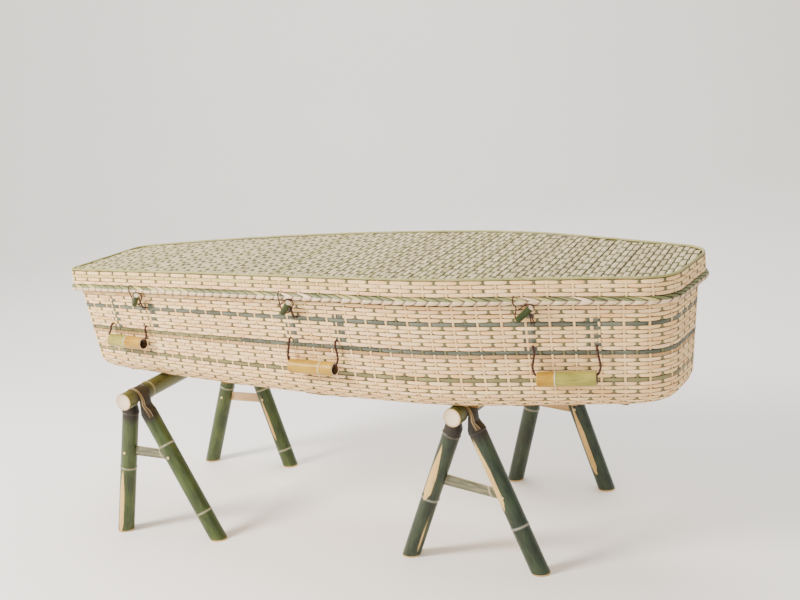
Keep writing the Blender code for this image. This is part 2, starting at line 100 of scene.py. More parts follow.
# %% The outline and the wall
LENGTH, FOOT_WIDTH, SHOULDER_WIDTH, HEAD_WIDTH = 1.95, 0.35, 0.62, 0.34
HALF = LENGTH / 2
SHOULDER_X, BOW = 0.195 * LENGTH, 0.031
HEIGHT, BRAID_TOP, BRAID_BOTTOM = 0.347, 0.298, 0.275
CROWN, CROWN_X = 0.020, 0.15
SETBACK, SLOPES, BOTTOM_RADIUS = 0.016, (0.11, 0.06, 0.08), 0.05
RIM_CANE, GAP, WALL = 0.007, 0.0003, 0.005
PANEL_TOP = HEIGHT - 7 * RIM_CANE / 12
STAND_HEIGHT = 0.475
COFFIN_PLACE = np.array((0.0, -0.08, STAND_HEIGHT))
STAKES = 142
LEAN = BRAID_BOTTOM - BOTTOM_RADIUS
WALL_REACH = LEAN + math.pi / 2 * BOTTOM_RADIUS

# How far the bend at the heel, shoulder and crown reaches, and points along each stretch
FOOT_REACH, SHOULDER_REACH, HEAD_REACH = 0.035, 0.14, 0.085
FINE, COARSE = (12, 79, 24, 24, 16), (3, 7, 3, 3, 3)

# Handles as a share of the length and a height. The hole of each cord is beside the handle.
HANDLES = {"foot": (-0.3795, 0.119), "middle": (-0.0051, 0.098), "head": (0.3590, 0.091)}


def spread(count):
    return np.linspace(0, 1, count, endpoint=False)


def bent(a, b, c, t):
    t = t[:, None]
    return a * (1 - t) ** 2 + b * 2 * t * (1 - t) + c * t**2


def front_plan(side, foot, head, counts):
    """The front of the outline, from the foot end's corner to the head end's corner."""
    heel = np.array((-HALF + foot, side - FOOT_WIDTH / 2))
    shoulder = np.array((SHOULDER_X, side - SHOULDER_WIDTH / 2))
    crown = np.array((HALF - head, side - HEAD_WIDTH / 2))
    belly = (heel + shoulder) / 2 - (0, 2 * BOW)
    long_side, short_side = np.linalg.norm(shoulder - heel), np.linalg.norm(crown - shoulder)
    start, end = FOOT_REACH / long_side, 1 - SHOULDER_REACH / long_side
    flank = bent(heel, belly, shoulder, np.linspace(start, end, counts[1] + 1))
    past = shoulder + (crown - shoulder) * SHOULDER_REACH / short_side
    before = shoulder + (crown - shoulder) * (1 - HEAD_REACH / short_side)
    foot_end, head_end = heel + (0, FOOT_REACH), crown + (0, HEAD_REACH)
    bends = [
        bent(foot_end, heel, flank[0], spread(counts[0])),
        flank[:-1],
        bent(flank[-1], shoulder, past, spread(counts[2])),
        past + (before - past) * spread(counts[3])[:, None],
        bent(before, crown, head_end, spread(counts[4])),
    ]
    return np.concatenate([*bends, head_end[None]])


def outline(side, foot, head):
    """Points all the way round, from the middle of the foot end along the front to the head and back."""
    plan = front_plan(side, foot, head, FINE)
    level = np.array((1, 0))
    foot_middle, head_middle = plan[0] * level, plan[-1] * level
    foot_half = foot_middle + (plan[0] - foot_middle) * spread(8)[:, None]
    head_half = plan[-1] + (head_middle - plan[-1]) * spread(8)[:, None]
    front = np.concatenate([foot_half, plan[:-1], head_half, head_middle[None]])
    return np.concatenate([front, (front * (1, -1))[-2::-1]])


def unit(v):
    return v / np.linalg.norm(v, axis=-1, keepdims=True)


def way_along(points):
    """How far each point lies along a line."""
    return np.concatenate([[0], np.cumsum(np.linalg.norm(np.diff(points, axis=0), axis=1))])


# How far round each point of the outline lies, as a share of the whole way
WAY = way_along(outline(0, 0, 0))
ROUND = WAY / WAY[-1]


def lift(x, z):
    return CROWN * (1 - ((x - CROWN_X) / HALF) ** 2) * np.clip(z / BRAID_BOTTOM, 0, 1)


def ring(stake, z, *setbacks):
    """Points of one level, at places counted in stakes. One setback serves all sides."""
    points = outline(*setbacks) if len(setbacks) == 3 else outline(*setbacks * 3)
    at = (np.asarray(stake) / STAKES) % 1.0
    x, y = (np.interp(at, ROUND, points[:, k]) for k in (0, 1))
    return np.stack([x, y, z + lift(x, z)], axis=1)


def wall_ring(stake, down, depth=0.0):
    """Points of the body's wall, so far down from the border and so deep under its face."""
    angle = max(down - LEAN, 0) / BOTTOM_RADIUS
    z = BRAID_BOTTOM - down if down < LEAN else BOTTOM_RADIUS * (1 - math.sin(angle))
    curl = BOTTOM_RADIUS * (1 - math.cos(angle)) if down > LEAN else 0.0
    sideways, upwards = (1.0, 0.0) if down < LEAN else (math.cos(angle), math.sin(angle))
    below = max(BRAID_BOTTOM - z, 0)
    setbacks = [SETBACK + slope * below + curl + depth * sideways for slope in SLOPES]
    points = ring(stake, z, *setbacks)
    points[:, 2] += depth * upwards
    return points


def grid_out(grid):
    """The outward direction at each point of a grid of rows from the top down."""
    along = np.roll(grid, -1, axis=1) - np.roll(grid, 1, axis=1)
    return unit(np.cross(np.gradient(grid, axis=0), along))


print("way round the lid:", round(WAY[-1], 3), "m")

# %% [markdown]
# ## Meshes from grids of points
# Every piece is made of grids: rows of points with faces between them. One class joins many grids
# into a mesh. Each face has a material slot, and each point has values that the shaders read.


# %% Grids into one mesh
def uv_of(along, across):
    """UVs from a place along for each row and a place across for each column."""
    return np.stack(np.broadcast_arrays(np.asarray(along)[:, None], across), axis=2)


def make_piece(name, points, faces, uvs, materials, smooth):
    """A mesh with its faces outwards and UVs along and across, riding the one body."""
    mesh = bpy.data.meshes.new(name)
    mesh.from_pydata(points.tolist(), [], faces)
    for finish in materials:
        mesh.materials.append(finish)
    corners = np.empty(len(mesh.loops), np.int32)
    mesh.loops.foreach_get("vertex_index", corners)
    layer = mesh.uv_layers.new(name="strip")
    layer.data.foreach_set("uv", uvs[corners].astype(np.float32).ravel())
    builder = bmesh.new()
    builder.from_mesh(mesh)
    bmesh.ops.recalc_face_normals(builder, faces=builder.faces)
    builder.to_mesh(mesh)
    builder.free()
    mesh.shade_smooth()
    mesh.set_sharp_from_angle(angle=math.radians(smooth))
    piece = bpy.data.objects.new(name, mesh)
    bpy.context.scene.collection.objects.link(piece)
    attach(piece, "root")
    return piece


class Grids:
    """One mesh of several grids. names are the values for the shaders, -1 where they aren't given."""

    def __init__(self, *names):
        self.points, self.faces, self.slots, self.uvs, self.count = [], [], [], [], 0
        self.values = {name: [] for name in names}

    def add(self, grid, uv, slot=0, wrap=False, caps=False, cap_slot=None, **values):
        """grid is rows by columns. wrap joins the last column to the first, caps close both ends."""
        rows, columns = grid.shape[:2]
        self.points.append(grid.reshape(-1, 3))
        self.uvs.append(np.broadcast_to(uv, (rows, columns, 2)).reshape(-1, 2))
        for name, kept in self.values.items():
            kept.append(np.broadcast_to(values.get(name, -1.0), (rows, columns)).reshape(-1))
        i = np.arange(rows - 1)[:, None] * columns
        j = np.arange(columns if wrap else columns - 1)[None, :]
        after = (j + 1) % columns
        quads = np.stack([i + j, i + after, i + columns + after, i + columns + j], axis=2).reshape(-1, 4)
        self.faces += (quads + self.count).tolist()
        slot = np.asarray(slot)
        slots = np.broadcast_to(slot[:, None] if slot.ndim == 1 else slot, (rows - 1, j.shape[1]))
        self.slots += slots.reshape(-1).tolist()
        for row in (0, rows - 1) if caps else ():
            first = self.count + row * columns
            self.faces.append(list(range(first, first + columns)))
            beside = int(slots[min(row, rows - 2), 0])
            self.slots.append(beside if cap_slot is None else cap_slot)
        self.count += rows * columns

    def build(self, name, materials, smooth=50):
        points, uvs = np.concatenate(self.points), np.concatenate(self.uvs)
        piece = make_piece(name, points, self.faces, uvs, materials, smooth)
        for key, kept in self.values.items():
            layer = piece.data.attributes.new(key, "FLOAT", "POINT")
            layer.data.foreach_set("value", np.concatenate(kept).astype(np.float32))
        piece.data.polygons.foreach_set("material_index", np.array(self.slots, np.int32))
        print(name, len(piece.data.polygons), "faces")
        return piece


# %% [markdown]
# ## A strip of split bamboo
# A strip is a thin ribbon with softened edges, swept along a line. One helper makes all of them,
# because weavers, stakes and lid strips differ only in their line, width and colour. Its UVs run
# along and across, so that the grain lies the right way, and one tone sets it off from the next.


# %% Strips
def add_strip(grids, centre, side, out, half, thick, tone, slot=0, bevel=0.70, crown=0.0):
    """One ribbon. half is its half width and thick its thickness, below the line it follows."""
    half = np.broadcast_to(np.asarray(half, float), (len(centre),))[:, None]
    section = [(-1, -thick), (-bevel, crown * 0.4), (bevel, crown * 0.4), (1, -thick)]
    if crown:
        section.insert(2, (0, crown))
    grid = np.stack([centre + side * half * a + out * b for a, b in section], axis=1)
    along = way_along(centre) + chance.uniform(0, 7)
    tone = np.broadcast_to(tone, (len(centre),))[:, None]
    grids.add(grid, uv_of(along, [a for a, _ in section]), slot, wrap=True, caps=True, tone=tone)


# %% [markdown]
# ## Effects that several finishes share
# Bamboo has long fibres, specks and edges darkened by soil and by painted shade where the strips
# meet. Each effect is a node group with its own inputs, so the cream strips, the green skins and
# the thick culms all use the same fibres at their own scale and strength.


# %% Node helpers
def put(tree, kind, values=(), **settings):
    """A node with its settings, and its inputs given as numbers or as sockets to link from."""
    node = tree.nodes.new(kind)
    for key, value in settings.items():
        setattr(node, key, value)
    for key, value in dict(values).items():
        if isinstance(value, bpy.types.NodeSocket):
            tree.links.new(value, node.inputs[key])
        else:
            node.inputs[key].default_value = value
    return node


def maths(tree, what, a, b=0.5, clamp=False):
    return put(tree, "ShaderNodeMath", {0: a, 1: b}, operation=what, use_clamp=clamp).outputs[0]


def times(tree, a, b, clamp=False):
    return maths(tree, "MULTIPLY", a, b, clamp)


def plus(tree, a, b, clamp=False):
    return maths(tree, "ADD", a, b, clamp)


def blend_colour(tree, share, a, b):
    return put(tree, "ShaderNodeMix", {0: share, 6: a, 7: b}, data_type="RGBA").outputs[2]


def step_up(tree, value, low, high, top=1.0):
    """0 below low and top above high, with a soft step between."""
    values = {0: value, 1: low, 2: high, 3: 0.0, 4: top}
    return put(tree, "ShaderNodeMapRange", values, interpolation_type="SMOOTHSTEP").outputs[0]


def stretched(tree, place, by):
    return put(tree, "ShaderNodeVectorMath", {0: place, 1: by}, operation="MULTIPLY").outputs[0]


def noise(tree, place, scale=1.0, detail=2.0, roughness=0.5):
    values = {"Vector": place, "Scale": scale, "Detail": detail, "Roughness": roughness}
    return put(tree, "ShaderNodeTexNoise", values).outputs[0]


def value_of(tree, name):
    return put(tree, "ShaderNodeAttribute", attribute_name=name).outputs[2]


def use(tree, shared, **values):
    """A shared effect with its inputs. Colours are given as the eye reads them."""
    values = {key: rgb(*value) if isinstance(value, tuple) else value for key, value in values.items()}
    return put(tree, "ShaderNodeGroup", values, node_tree=shared).outputs


def rgb(*seen):
    """A colour as the eye reads it, turned into the linear values that nodes use."""
    return (*(v / 255 / 12.92 if v < 10 else ((v / 255 + 0.055) / 1.055) ** 2.4 for v in seen), 1)


KINDS = {0: "NodeSocketFloat", 3: "NodeSocketVector", 4: "NodeSocketColor"}


def group(name, inputs, outputs):
    """A node group. An input's value tells its kind: a number, a place or a colour."""
    tree = bpy.data.node_groups.new(name, "ShaderNodeTree")
    for label, value in inputs.items():
        kind = KINDS[len(value) if isinstance(value, tuple) else 0]
        tree.interface.new_socket(label, in_out="INPUT", socket_type=kind).default_value = value
    for label in outputs:
        kind = KINDS[4 if label == "Colour" else 0]
        tree.interface.new_socket(label, in_out="OUTPUT", socket_type=kind)
    return tree, tree.nodes.new("NodeGroupInput").outputs, tree.nodes.new("NodeGroupOutput").inputs


def give(tree, outputs, **results):
    """Links what a group works out to its outputs."""
    for key, value in results.items():
        tree.links.new(value, outputs[key])
    return tree


CREAM = (0.8, 0.7, 0.55, 1)


# %% Fibres along a strip or culm
def fibre_group():
    inputs = {"Place": (0, 0, 0), "Tone": 0.5, "Pale": CREAM, "Deep": (0.6, 0.45, 0.3, 1)}
    inputs |= {"Fineness": 1.0, "Contrast": 1.0}
    tree, given, out = group("Bamboo fibres", inputs, ("Colour", "Streaks", "Height"))
    stretch = {0: stretched(tree, given["Place"], (9, 3.2, 3.2)), "Scale": given["Fineness"]}
    sized = put(tree, "ShaderNodeVectorMath", stretch, operation="SCALE").outputs[0]
    fine = noise(tree, sized, 2.2, 3.0, 0.65)
    broad = noise(tree, stretched(tree, given["Place"], (14, 0.6, 0.6)))
    mix = plus(tree, times(tree, fine, 0.55), times(tree, broad, 0.45))
    spread_out = times(tree, maths(tree, "SUBTRACT", mix, 0.5), given["Contrast"])
    toned = plus(tree, times(tree, given["Tone"], 0.55), 0.22)
    share = plus(tree, toned, times(tree, spread_out, 1.7), clamp=True)
    colour = blend_colour(tree, share, given["Deep"], given["Pale"])
    return give(tree, out, Colour=colour, Streaks=fine, Height=mix)


# %% Darker edges, from soil and painted shade, in the low places of a weave
def edge_group():
    inputs = {"Place": (0, 0, 0), "Colour": CREAM, "Soil": (0.25, 0.16, 0.08, 1)}
    inputs |= {"Amount": 0.5, "Start": 0.55}
    tree, given, out = group("Soiled edges", inputs, ("Colour", "Edge"))
    across = put(tree, "ShaderNodeSeparateXYZ", {0: given["Place"]}).outputs[1]
    # Painted shade and soil: each strip darkens unevenly towards its long edges, where its neighbours shade
    # it.
    near = step_up(tree, maths(tree, "ABSOLUTE", across), given["Start"], 1.05)
    worn_and_shaded = times(tree, near, plus(tree, noise(tree, given["Place"], 30.0), 0.4), clamp=True)
    share = times(tree, worn_and_shaded, given["Amount"], clamp=True)
    return give(tree, out, Colour=blend_colour(tree, share, given["Colour"], given["Soil"]), Edge=near)


FIBRES, EDGES = fibre_group(), edge_group()
print("shared effects:", FIBRES.name, "and", EDGES.name)


# %% [markdown]
# ## Split bamboo
# The inner wood is pale and dull, the skin is green and a little glossy, and both dry to straw
# colours. All of these are one recipe with different colours: fibres, then edges darkened by soil
# and painted shade, then a faint bump from the fibres.


# %% The recipe for a split strip
def new_finish(name, on_object=False):
    """A material, its tree and shader, and the place that its textures go by."""
    made = bpy.data.materials.new(name)
    made.use_nodes = True
    tree = made.node_tree
    if on_object:
        place = put(tree, "ShaderNodeTexCoord").outputs["Object"]
    else:
        place = put(tree, "ShaderNodeUVMap", uv_map="strip").outputs[0]
    return made, tree, tree.nodes["Principled BSDF"], place


def finish_off(tree, shader, colour, roughness, height, strength, distance, **numbers):
    """Links colour, roughness and a bump to the shader, and sets what is the same all over."""
    tree.links.new(colour, shader.inputs["Base Color"])
    tree.links.new(roughness, shader.inputs["Roughness"])
    bump = put(tree, "ShaderNodeBump", {"Height": height, "Strength": strength, "Distance": distance})
    tree.links.new(bump.outputs[0], shader.inputs["Normal"])
    for key, value in numbers.items():
        shader.inputs[key.replace("_", " ")].default_value = value


def strip_material(name, pale, deep, soil_and_shade_colour, rough=0.62, soil_and_shade_amount=0.55, contrast=1.0):
    made, tree, shader, place = new_finish(name)
    tone = value_of(tree, "tone")
    grain = use(tree, FIBRES, Place=place, Tone=tone, Pale=pale, Deep=deep, Fineness=1.0, Contrast=contrast)
    # The strip's edges darken towards a colour that is partly soil and partly painted shade between strips.
    edge = use(tree, EDGES, Place=place, Colour=grain["Colour"], Soil=soil_and_shade_colour, Amount=soil_and_shade_amount, Start=0.6)
    uneven = plus(tree, times(tree, grain["Streaks"], 0.25), rough - 0.12)
    finish_off(tree, shader, edge["Colour"], uneven, grain["Height"], 0.35, 0.0006, Specular_IOR_Level=0.35)
    return made


# Pale, deep and edge colours (soil and painted shade), then how rough, how dark the edges are and how strong
# the grain is
STRIPS = {
    "cream_split_bamboo": ((252, 224, 166), (230, 176, 110), (118, 72, 32), 0.62, 0.55, 1.4),
    "pink_cream_split_bamboo": ((252, 220, 170), (226, 172, 116), (122, 72, 36), 0.62, 0.55, 1.4),
    "straw_split_bamboo": ((222, 198, 132), (186, 158, 90), (90, 66, 28)),
    "tan_split_bamboo": ((204, 168, 114), (160, 120, 74), (76, 50, 24)),
    "cream_stake": ((246, 214, 156), (216, 168, 102), (130, 84, 38), 0.62, 0.4),
    "green_stake": ((120, 118, 80), (80, 80, 50), (44, 38, 24), 0.5),
    "grey_green_band": ((112, 116, 98), (58, 62, 50), (34, 34, 26), 0.5, 0.55, 2.0),
    "olive_band": ((146, 138, 90), (96, 90, 54), (48, 42, 24), 0.5, 0.55, 1.8),
    "lid_pale_strip": ((208, 192, 150), (158, 142, 98), (70, 62, 32), 0.62, 0.85, 1.7),
    "lid_greenish_strip": ((190, 176, 122), (140, 130, 80), (64, 58, 30), 0.62, 0.85, 1.7),
    "lid_olive_strip": ((130, 124, 74), (82, 76, 40), (36, 32, 16), 0.62, 0.55, 1.5),
    "braid_green_strand": ((146, 146, 96), (84, 90, 58), (30, 30, 16), 0.45, 0.85, 1.8),
    "braid_straw_strand": ((210, 196, 130), (160, 150, 88), (50, 44, 22), 0.5, 0.85),
    "braid_cream_strand": ((244, 220, 184), (206, 172, 130), (84, 54, 30), 0.62, 0.8),
    # Coloured dark as painted shade, for layers seen only through gaps
    "painted_shade_bamboo": ((92, 66, 42), (50, 34, 20), (22, 14, 8), 0.75),
    "rim_cane_skin": ((190, 182, 122), (138, 132, 76), (80, 70, 36), 0.45, 0.0, 1.4),
    "cream_strap_edge": ((232, 206, 160), (190, 150, 100), (70, 45, 25), 0.62, 0.5),
}
made = [strip_material(name, *look) for name, look in STRIPS.items()]
cream, pink_cream, straw, tan, cream_stake, green_stake, grey_green, olive, *made = made
lid_pale, lid_greenish, lid_olive, braid_green, braid_straw, braid_cream, *made = made
painted_shade_wood, rim_finish, strap_edge = made
print("strip finishes:", len(STRIPS))

# %% [markdown]
# ## The body's weavers
# A plain weave: each flat weaver goes over one stake and under the next, and the next row does the
# opposite. Three rows are coloured bands. The strips are real geometry, four sections to each
# stake: down close to a stake that covers them, flat between, so that they read as bricks.

# %% The body's rows
ROW_PITCH = 0.0104
STRIP_THICK, STAKE_THICK = 0.0011, 0.0009
BAND_DOWNS, BAND_STEPS = (0.051, 0.124, 0.195), 7
WEAVE_DEPTH = 0.0011
CLOSE, APART = 0.14, 0.30


def row_downs():
    """Distances below the border, with seven steps from band to band."""
    rows = [BAND_DOWNS[0] - ROW_PITCH * k for k in range(4, 0, -1)]
    for a, b in zip(BAND_DOWNS, BAND_DOWNS[1:]):
        rows += [a + (b - a) * k / BAND_STEPS for k in range(BAND_STEPS)]
    return rows + list(np.arange(BAND_DOWNS[-1], WALL_REACH, ROW_PITCH))


ROWS = row_downs()
FIRST_BAND, SECOND_BAND, THIRD_BAND = 4, 11, 18


def weave_stations(row):
    """Places round the wall with, for each, how far out the weaver is, from -1 to 1."""
    places, heights = [], []
    for j in range(STAKES):
        level, shoulder = (1.0, 0.95) if (j + row) % 2 == 0 else (-1.0, 0.75)
        places += [j - APART, j - CLOSE, j + CLOSE, j + APART]
        heights += [shoulder, level, level, shoulder]
    return np.array([*places, places[0] + STAKES]), np.array([*heights, heights[0]])


def weaver(strips, row, rings_at, half, tone, slot):
    """One row right round. rings_at gives the wall's points a little above, on and below the row."""
    places, heights = weave_stations(row)
    above, middle, below = rings_at(places)
    side = unit(above - below)
    out = unit(np.cross(np.gradient(middle, axis=0), side))
    waver = 0.0004 * np.sin(places * 0.37 + row * 1.7)[:, None]
    centre = middle + out * (WEAVE_DEPTH * (heights - 1.15))[:, None] + side * waver
    narrowed = half * np.where(heights > 0.9, 1.0, np.where(heights > 0, 0.94, 0.74))
    add_strip(strips, centre, side, out, narrowed, STRIP_THICK, tone, slot, bevel=0.90)


def brick_tones(row, variety):
    """A tone for each brick of a row, from where it goes under a stake to where it does so again."""
    brick = np.floor((np.arange(4 * STAKES + 1) + 2 + 4 * (row % 2)) / 8).astype(int)
    return 0.5 + variety * chance.uniform(-1, 1, brick.max() + 2)[brick]


def weave_body():
    strips = Grids("tone")
    for row, down in enumerate(ROWS):
        places = weave_stations(row)[0][:-1]
        tone = brick_tones(row, 0.42) + 0.14 * math.sin(row * 2.1)
        slot = {FIRST_BAND: 2, THIRD_BAND: 3, SECOND_BAND + 1: 4}.get(row, int(row % 3 == 1))
        if row == SECOND_BAND:
            olive_part = (ring(places, 0.1, 0)[:, 0] < -0.30) & (places < STAKES / 2)
            slot = np.where(olive_part, 3, 2)

        def rings_at(at):
            return [wall_ring(at, d) + COFFIN_PLACE for d in (down - 0.003, down, down + 0.003)]

        weaver(strips, row, rings_at, 0.0051, tone, slot)
    return strips.build("coffin_body_weavers", [cream, pink_cream, grey_green, olive, tan], 60)


body_weavers = weave_body()
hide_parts("coffin_body")

# %% [markdown]
# ## The body's stakes
# The upright stakes are narrow. Green-skinned and peeled ones alternate, and each shows only where
# it passes over a weaver. They run from under the border to the base. Short green pieces close the
# holes where the handle cords go through the wall.


# %% Stakes
def add_stakes(strips, rings, wave, half, variety, first_slot):
    """Every stake, down its column of ring points. wave says how far out it is at each ring."""
    out = grid_out(rings)
    for j in range(STAKES):
        side = unit(np.cross(out[:, j], np.gradient(rings[:, j], axis=0)))
        depths = WEAVE_DEPTH * (np.array([wave(j, k) for k in range(len(rings))]) - 1.05)
        tone = 0.5 + variety * chance.uniform(-1, 1)
        centre = rings[:, j] + out[:, j] * depths[:, None]
        add_strip(strips, centre, side, out[:, j], half, STAKE_THICK, tone, first_slot + j % 2, bevel=0.6)


def weave_stakes():
    strips = Grids("tone")
    downs = [-0.004, ROWS[0]]
    for above, row in zip(ROWS, ROWS[1:]):
        downs += [(row + above) / 2, row]

    def wave(j, k):
        if k % 2 == 0:
            return 0.1 if k else 0.25
        return -1.0 if (j + k // 2) % 2 == 0 else 1.0

    rings = np.stack([wall_ring(np.arange(STAKES), d) for d in downs]) + COFFIN_PLACE
    add_stakes(strips, rings, wave, 0.0032, 0.35, 0)
    for face in (-1, 1):
        for share, _ in HANDLES.values():
            mend_holes(strips, share * LENGTH - 0.071, face, 2)
            mend_holes(strips, share * LENGTH + 0.097, face, 3)
    return strips.build("coffin_body_stakes", [green_stake, cream_stake, grey_green], 60)


def stake_at(x, face):
    """The stake coordinate of a place along the front or back wall."""
    half = len(ROUND) // 2 + 1
    at = float(np.interp(x, outline(0, 0, 0)[:half, 0], ROUND[:half])) * STAKES
    return at if face < 0 else STAKES - at


# Where each piece lies, in stakes from the hole, then its half width, tone and slot
MENDS = ((-0.64, 0.0034, 0.1, 2), (-0.42, 0.0026, 0.6, 1), (0.06, 0.0098, 0.3, 2))


def mend_holes(strips, x, face, first):
    """Short pieces in every second row, over the place where a handle cord goes through the wall."""
    centre = stake_at(x, face)
    drops = (-0.0049, -0.0040, 0.0040, 0.0049)
    depths = np.array((0.0012, 0.0, 0.0, 0.0012))
    for row in range(first, SECOND_BAND, 2):
        for shift, half, tone, slot in MENDS:
            near = centre + shift + np.array([-1, 0, 1])
            rings = np.stack([wall_ring(near, ROWS[row] + drop) for drop in drops]) + COFFIN_PLACE
            down = np.gradient(rings[:, 1], axis=0)
            out = unit(np.cross(down, unit(rings[:, 2] - rings[:, 0])))
            side = unit(np.cross(out, down))
            line = rings[:, 1] - out * depths[:, None]
            add_strip(strips, line, side, out, half, 0.0012, tone, slot, bevel=0.94)


body_stakes = weave_stakes()

# %% [markdown]
# ## The wall behind the weave
# Seen through the small gaps, the inner layer is in shadow. A thin closed shell, lofted from the
# same rings and coloured dark as painted shade, stands for it and for the base.


# %% Lofted rings
def loft(name, rings, material, joined=False, uv_scale=1.0):
    """Skins closed rings of points. The two ends are joined to each other, or closed with ladders."""
    rows, around = len(rings), len(rings[0])
    i = np.arange(rows if joined else rows - 1)[:, None]
    j = np.arange(around)[None, :]
    a, b, after = i * around, (i + 1) % rows * around, (j + 1) % around
    faces = np.stack([a + j, a + after, b + after, b + j], axis=2).reshape(-1, 4).tolist()
    for base in () if joined else (0, (rows - 1) * around):
        for j in range(around // 2 - 1):
            faces.append([base + v for v in (j, j + 1, around - j - 2, around - j - 1)])
    tall = way_along([ring_points[0] for ring_points in rings])
    uvs = uv_of(tall, np.arange(around) * uv_scale)[:, :, ::-1].reshape(-1, 2)
    return make_piece(name, np.concatenate(rings), faces, uvs, [material], 45)


def body_core():
    places = np.linspace(0, STAKES, 160, endpoint=False)
    levels = [-0.0550, -0.02, 0.0, 0.1, LEAN, *np.linspace(LEAN, WALL_REACH, 5)[1:]]
    outer = [wall_ring(places, d, 0.0031) for d in levels]
    inner = [wall_ring(places, d, WALL) for d in levels]
    inner[-1][:, 2] = 0.008
    inner[-2][:, 2] = np.maximum(inner[-2][:, 2], 0.009)
    return loft("coffin_inner_wall", [r + COFFIN_PLACE for r in outer[::-1] + inner], painted_shade_wood)


inner_wall = body_core()
size_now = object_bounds()
print("so far:", [round(v, 3) for v in (*size_now[0], *size_now[1])])


# %% [markdown]
# ## The base underneath and the lid on top
# Both are flat panels woven from wide strips. The base is a plain weave. The lid is a twill: each
# pale cross strip floats over three olive warps and dips under the fourth, one step further on in
# each strip, which gives the slanting pattern. The strips lie a little askew to the coffin.


# %% A woven panel
def extent(loop, at):
    """Where a line across the convex loop enters and leaves it, at this first coordinate."""
    a, b = loop, np.roll(loop, -1, axis=0)
    crossed = (a[:, 0] - at) * (b[:, 0] - at) < 0
    if not crossed.any():
        return None
    a, b = a[crossed], b[crossed]
    ends = a[:, 1] + (b[:, 1] - a[:, 1]) * (at - a[:, 0]) / (b[:, 0] - a[:, 0])
    return float(ends.min()), float(ends.max())


def woven_panel(strips, level, side, turn, cross, warp, over, up, swing, slots):
    """Cross strips and warps as (pitch, half width), turned and clipped to the outline.

    over says where a cross strip is on top of a warp. up is 1 for a top and -1 for an underside.
    """
    c, s = math.cos(math.radians(turn)), math.sin(math.radians(turn))
    to_plan = np.array(((c, s), (-s, c)))
    loop = outline(side, side, side)[:-1] @ to_plan.T
    out = np.array((0.0, 0.0, up))

    def lay(way, pitch, half, other_pitch, is_top, slot, thick, crown):
        """Parallel strips. way is 0 for those across the panel and 1 for those along it."""
        points = loop if way == 0 else loop[:, ::-1]
        reach = np.abs(points[:, 0]).max()
        for k in range(-int(reach / pitch), int(reach / pitch) + 1):
            at = k * pitch + chance.uniform(-0.0012, 0.0012) * (half > 0.005)
            ends = extent(points, at)
            if ends is None or ends[1] - ends[0] < 0.02:
                continue
            first, last = math.ceil((ends[0] + 0.006) / other_pitch), (ends[1] - 0.006) // other_pitch
            crossings = range(first, int(last) + 1)
            places = [(m + off) * other_pitch for m in crossings for off in (-0.24, 0.24)]
            heights = [1.0 if is_top(k, m) else -1.0 for m in crossings for _ in (0, 1)]
            places, heights = np.array([ends[0], *places, ends[1]]), np.array([-2.2, *heights, -2.2])
            flat = np.stack([np.full(len(places), at), places], axis=1)
            flat = (flat if way == 0 else flat[:, ::-1]) @ to_plan
            z = level(flat[:, 0]) + up * swing * (heights - 1.1)
            line = np.concatenate([flat, z[:, None]], axis=1)
            side_way = np.array((*to_plan[way], 0.0))
            tone = 0.5 + 0.42 * chance.uniform(-1, 1) + 0.15 * np.sin(places * 40 + k * 3)
            width = half * (0.98 + 0.05 * (np.sin(places * 31 + k * 2.1) + np.sin(places * 83 + k)))
            finish = slot if chance.random() > 0.10 or way else slots[2]
            add_strip(strips, line + COFFIN_PLACE, side_way, out, width, thick, tone, finish, 0.82, crown)

    lay(0, *cross, warp[0], over, slots[0], 0.0009, 0.0005)
    lay(1, *warp, cross[0], lambda m, k: not over(k, m), slots[1], 0.0008, 0.0)


def lid_level(x):
    return PANEL_TOP + lift(x, HEIGHT)


def weave_lid_top():
    strips = Grids("tone")

    def over(k, m):
        return (m - k - (k % 5 == 2)) % 4 != 0

    cross, warp = (0.0165, 0.0074), (0.0170, 0.0034)
    woven_panel(strips, lid_level, 0.0078, 8, cross, warp, over, 1.0, 0.0013, (0, 1, 2))
    return strips.build("coffin_lid_top_weave", [lid_pale, lid_olive, lid_greenish], 60)


def weave_base():
    strips = Grids("tone")

    def over(k, m):
        return (m + k) % 2 == 0

    def level(x):
        return x * 0.0

    cross, warp = (0.034, 0.0160), (0.034, 0.0150)
    woven_panel(strips, level, 0.085, 0, cross, warp, over, -1.0, 0.0010, (0, 1, 0))
    return strips.build("coffin_base_weave", [cream, straw], 60)


lid_top = weave_lid_top()
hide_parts("coffin_lid")
base_weave = weave_base()

# %% [markdown]
# ## The lid's band
# Four rows go round the lid above the braid. The two upper ones are greener towards the foot. The
# same stakes as on the body cross them.

# %% The lid's rows and stakes
LID_ROWS = [BRAID_TOP + 0.0003 + 0.01035 * (3.5 - i) for i in range(4)]


def weave_lid_band():
    strips = Grids("tone")
    for row, z in enumerate(LID_ROWS, 1):
        places = weave_stations(row)[0][:-1]
        tone = brick_tones(row, 0.35)
        slot = int(row == 4)
        if row == 2:
            slot = np.where(ring(places, 0.3, 0)[:, 0] < 0.12, 2, 0)

        def rings_at(at):
            return [ring(at, level, 0.0) + COFFIN_PLACE for level in (z + 0.003, z, z - 0.003)]

        weaver(strips, row, rings_at, 0.0050, tone, slot)

    def wave(j, k):
        if k % 2 == 0:
            return 0.0
        return -1.0 if (j + k // 2 + 1) % 2 == 0 else 1.0

    heights = [0.3395, *[z + off for z in LID_ROWS for off in (0, -0.0052)]]
    rings = np.stack([ring(np.arange(STAKES), z, 0.0) for z in heights]) + COFFIN_PLACE
    add_stakes(strips, rings, wave, 0.0034, 0.4, 3)
    return strips.build("coffin_lid_band_weave", [cream, pink_cream, straw, green_stake, cream_stake], 60)


lid_band = weave_lid_band()


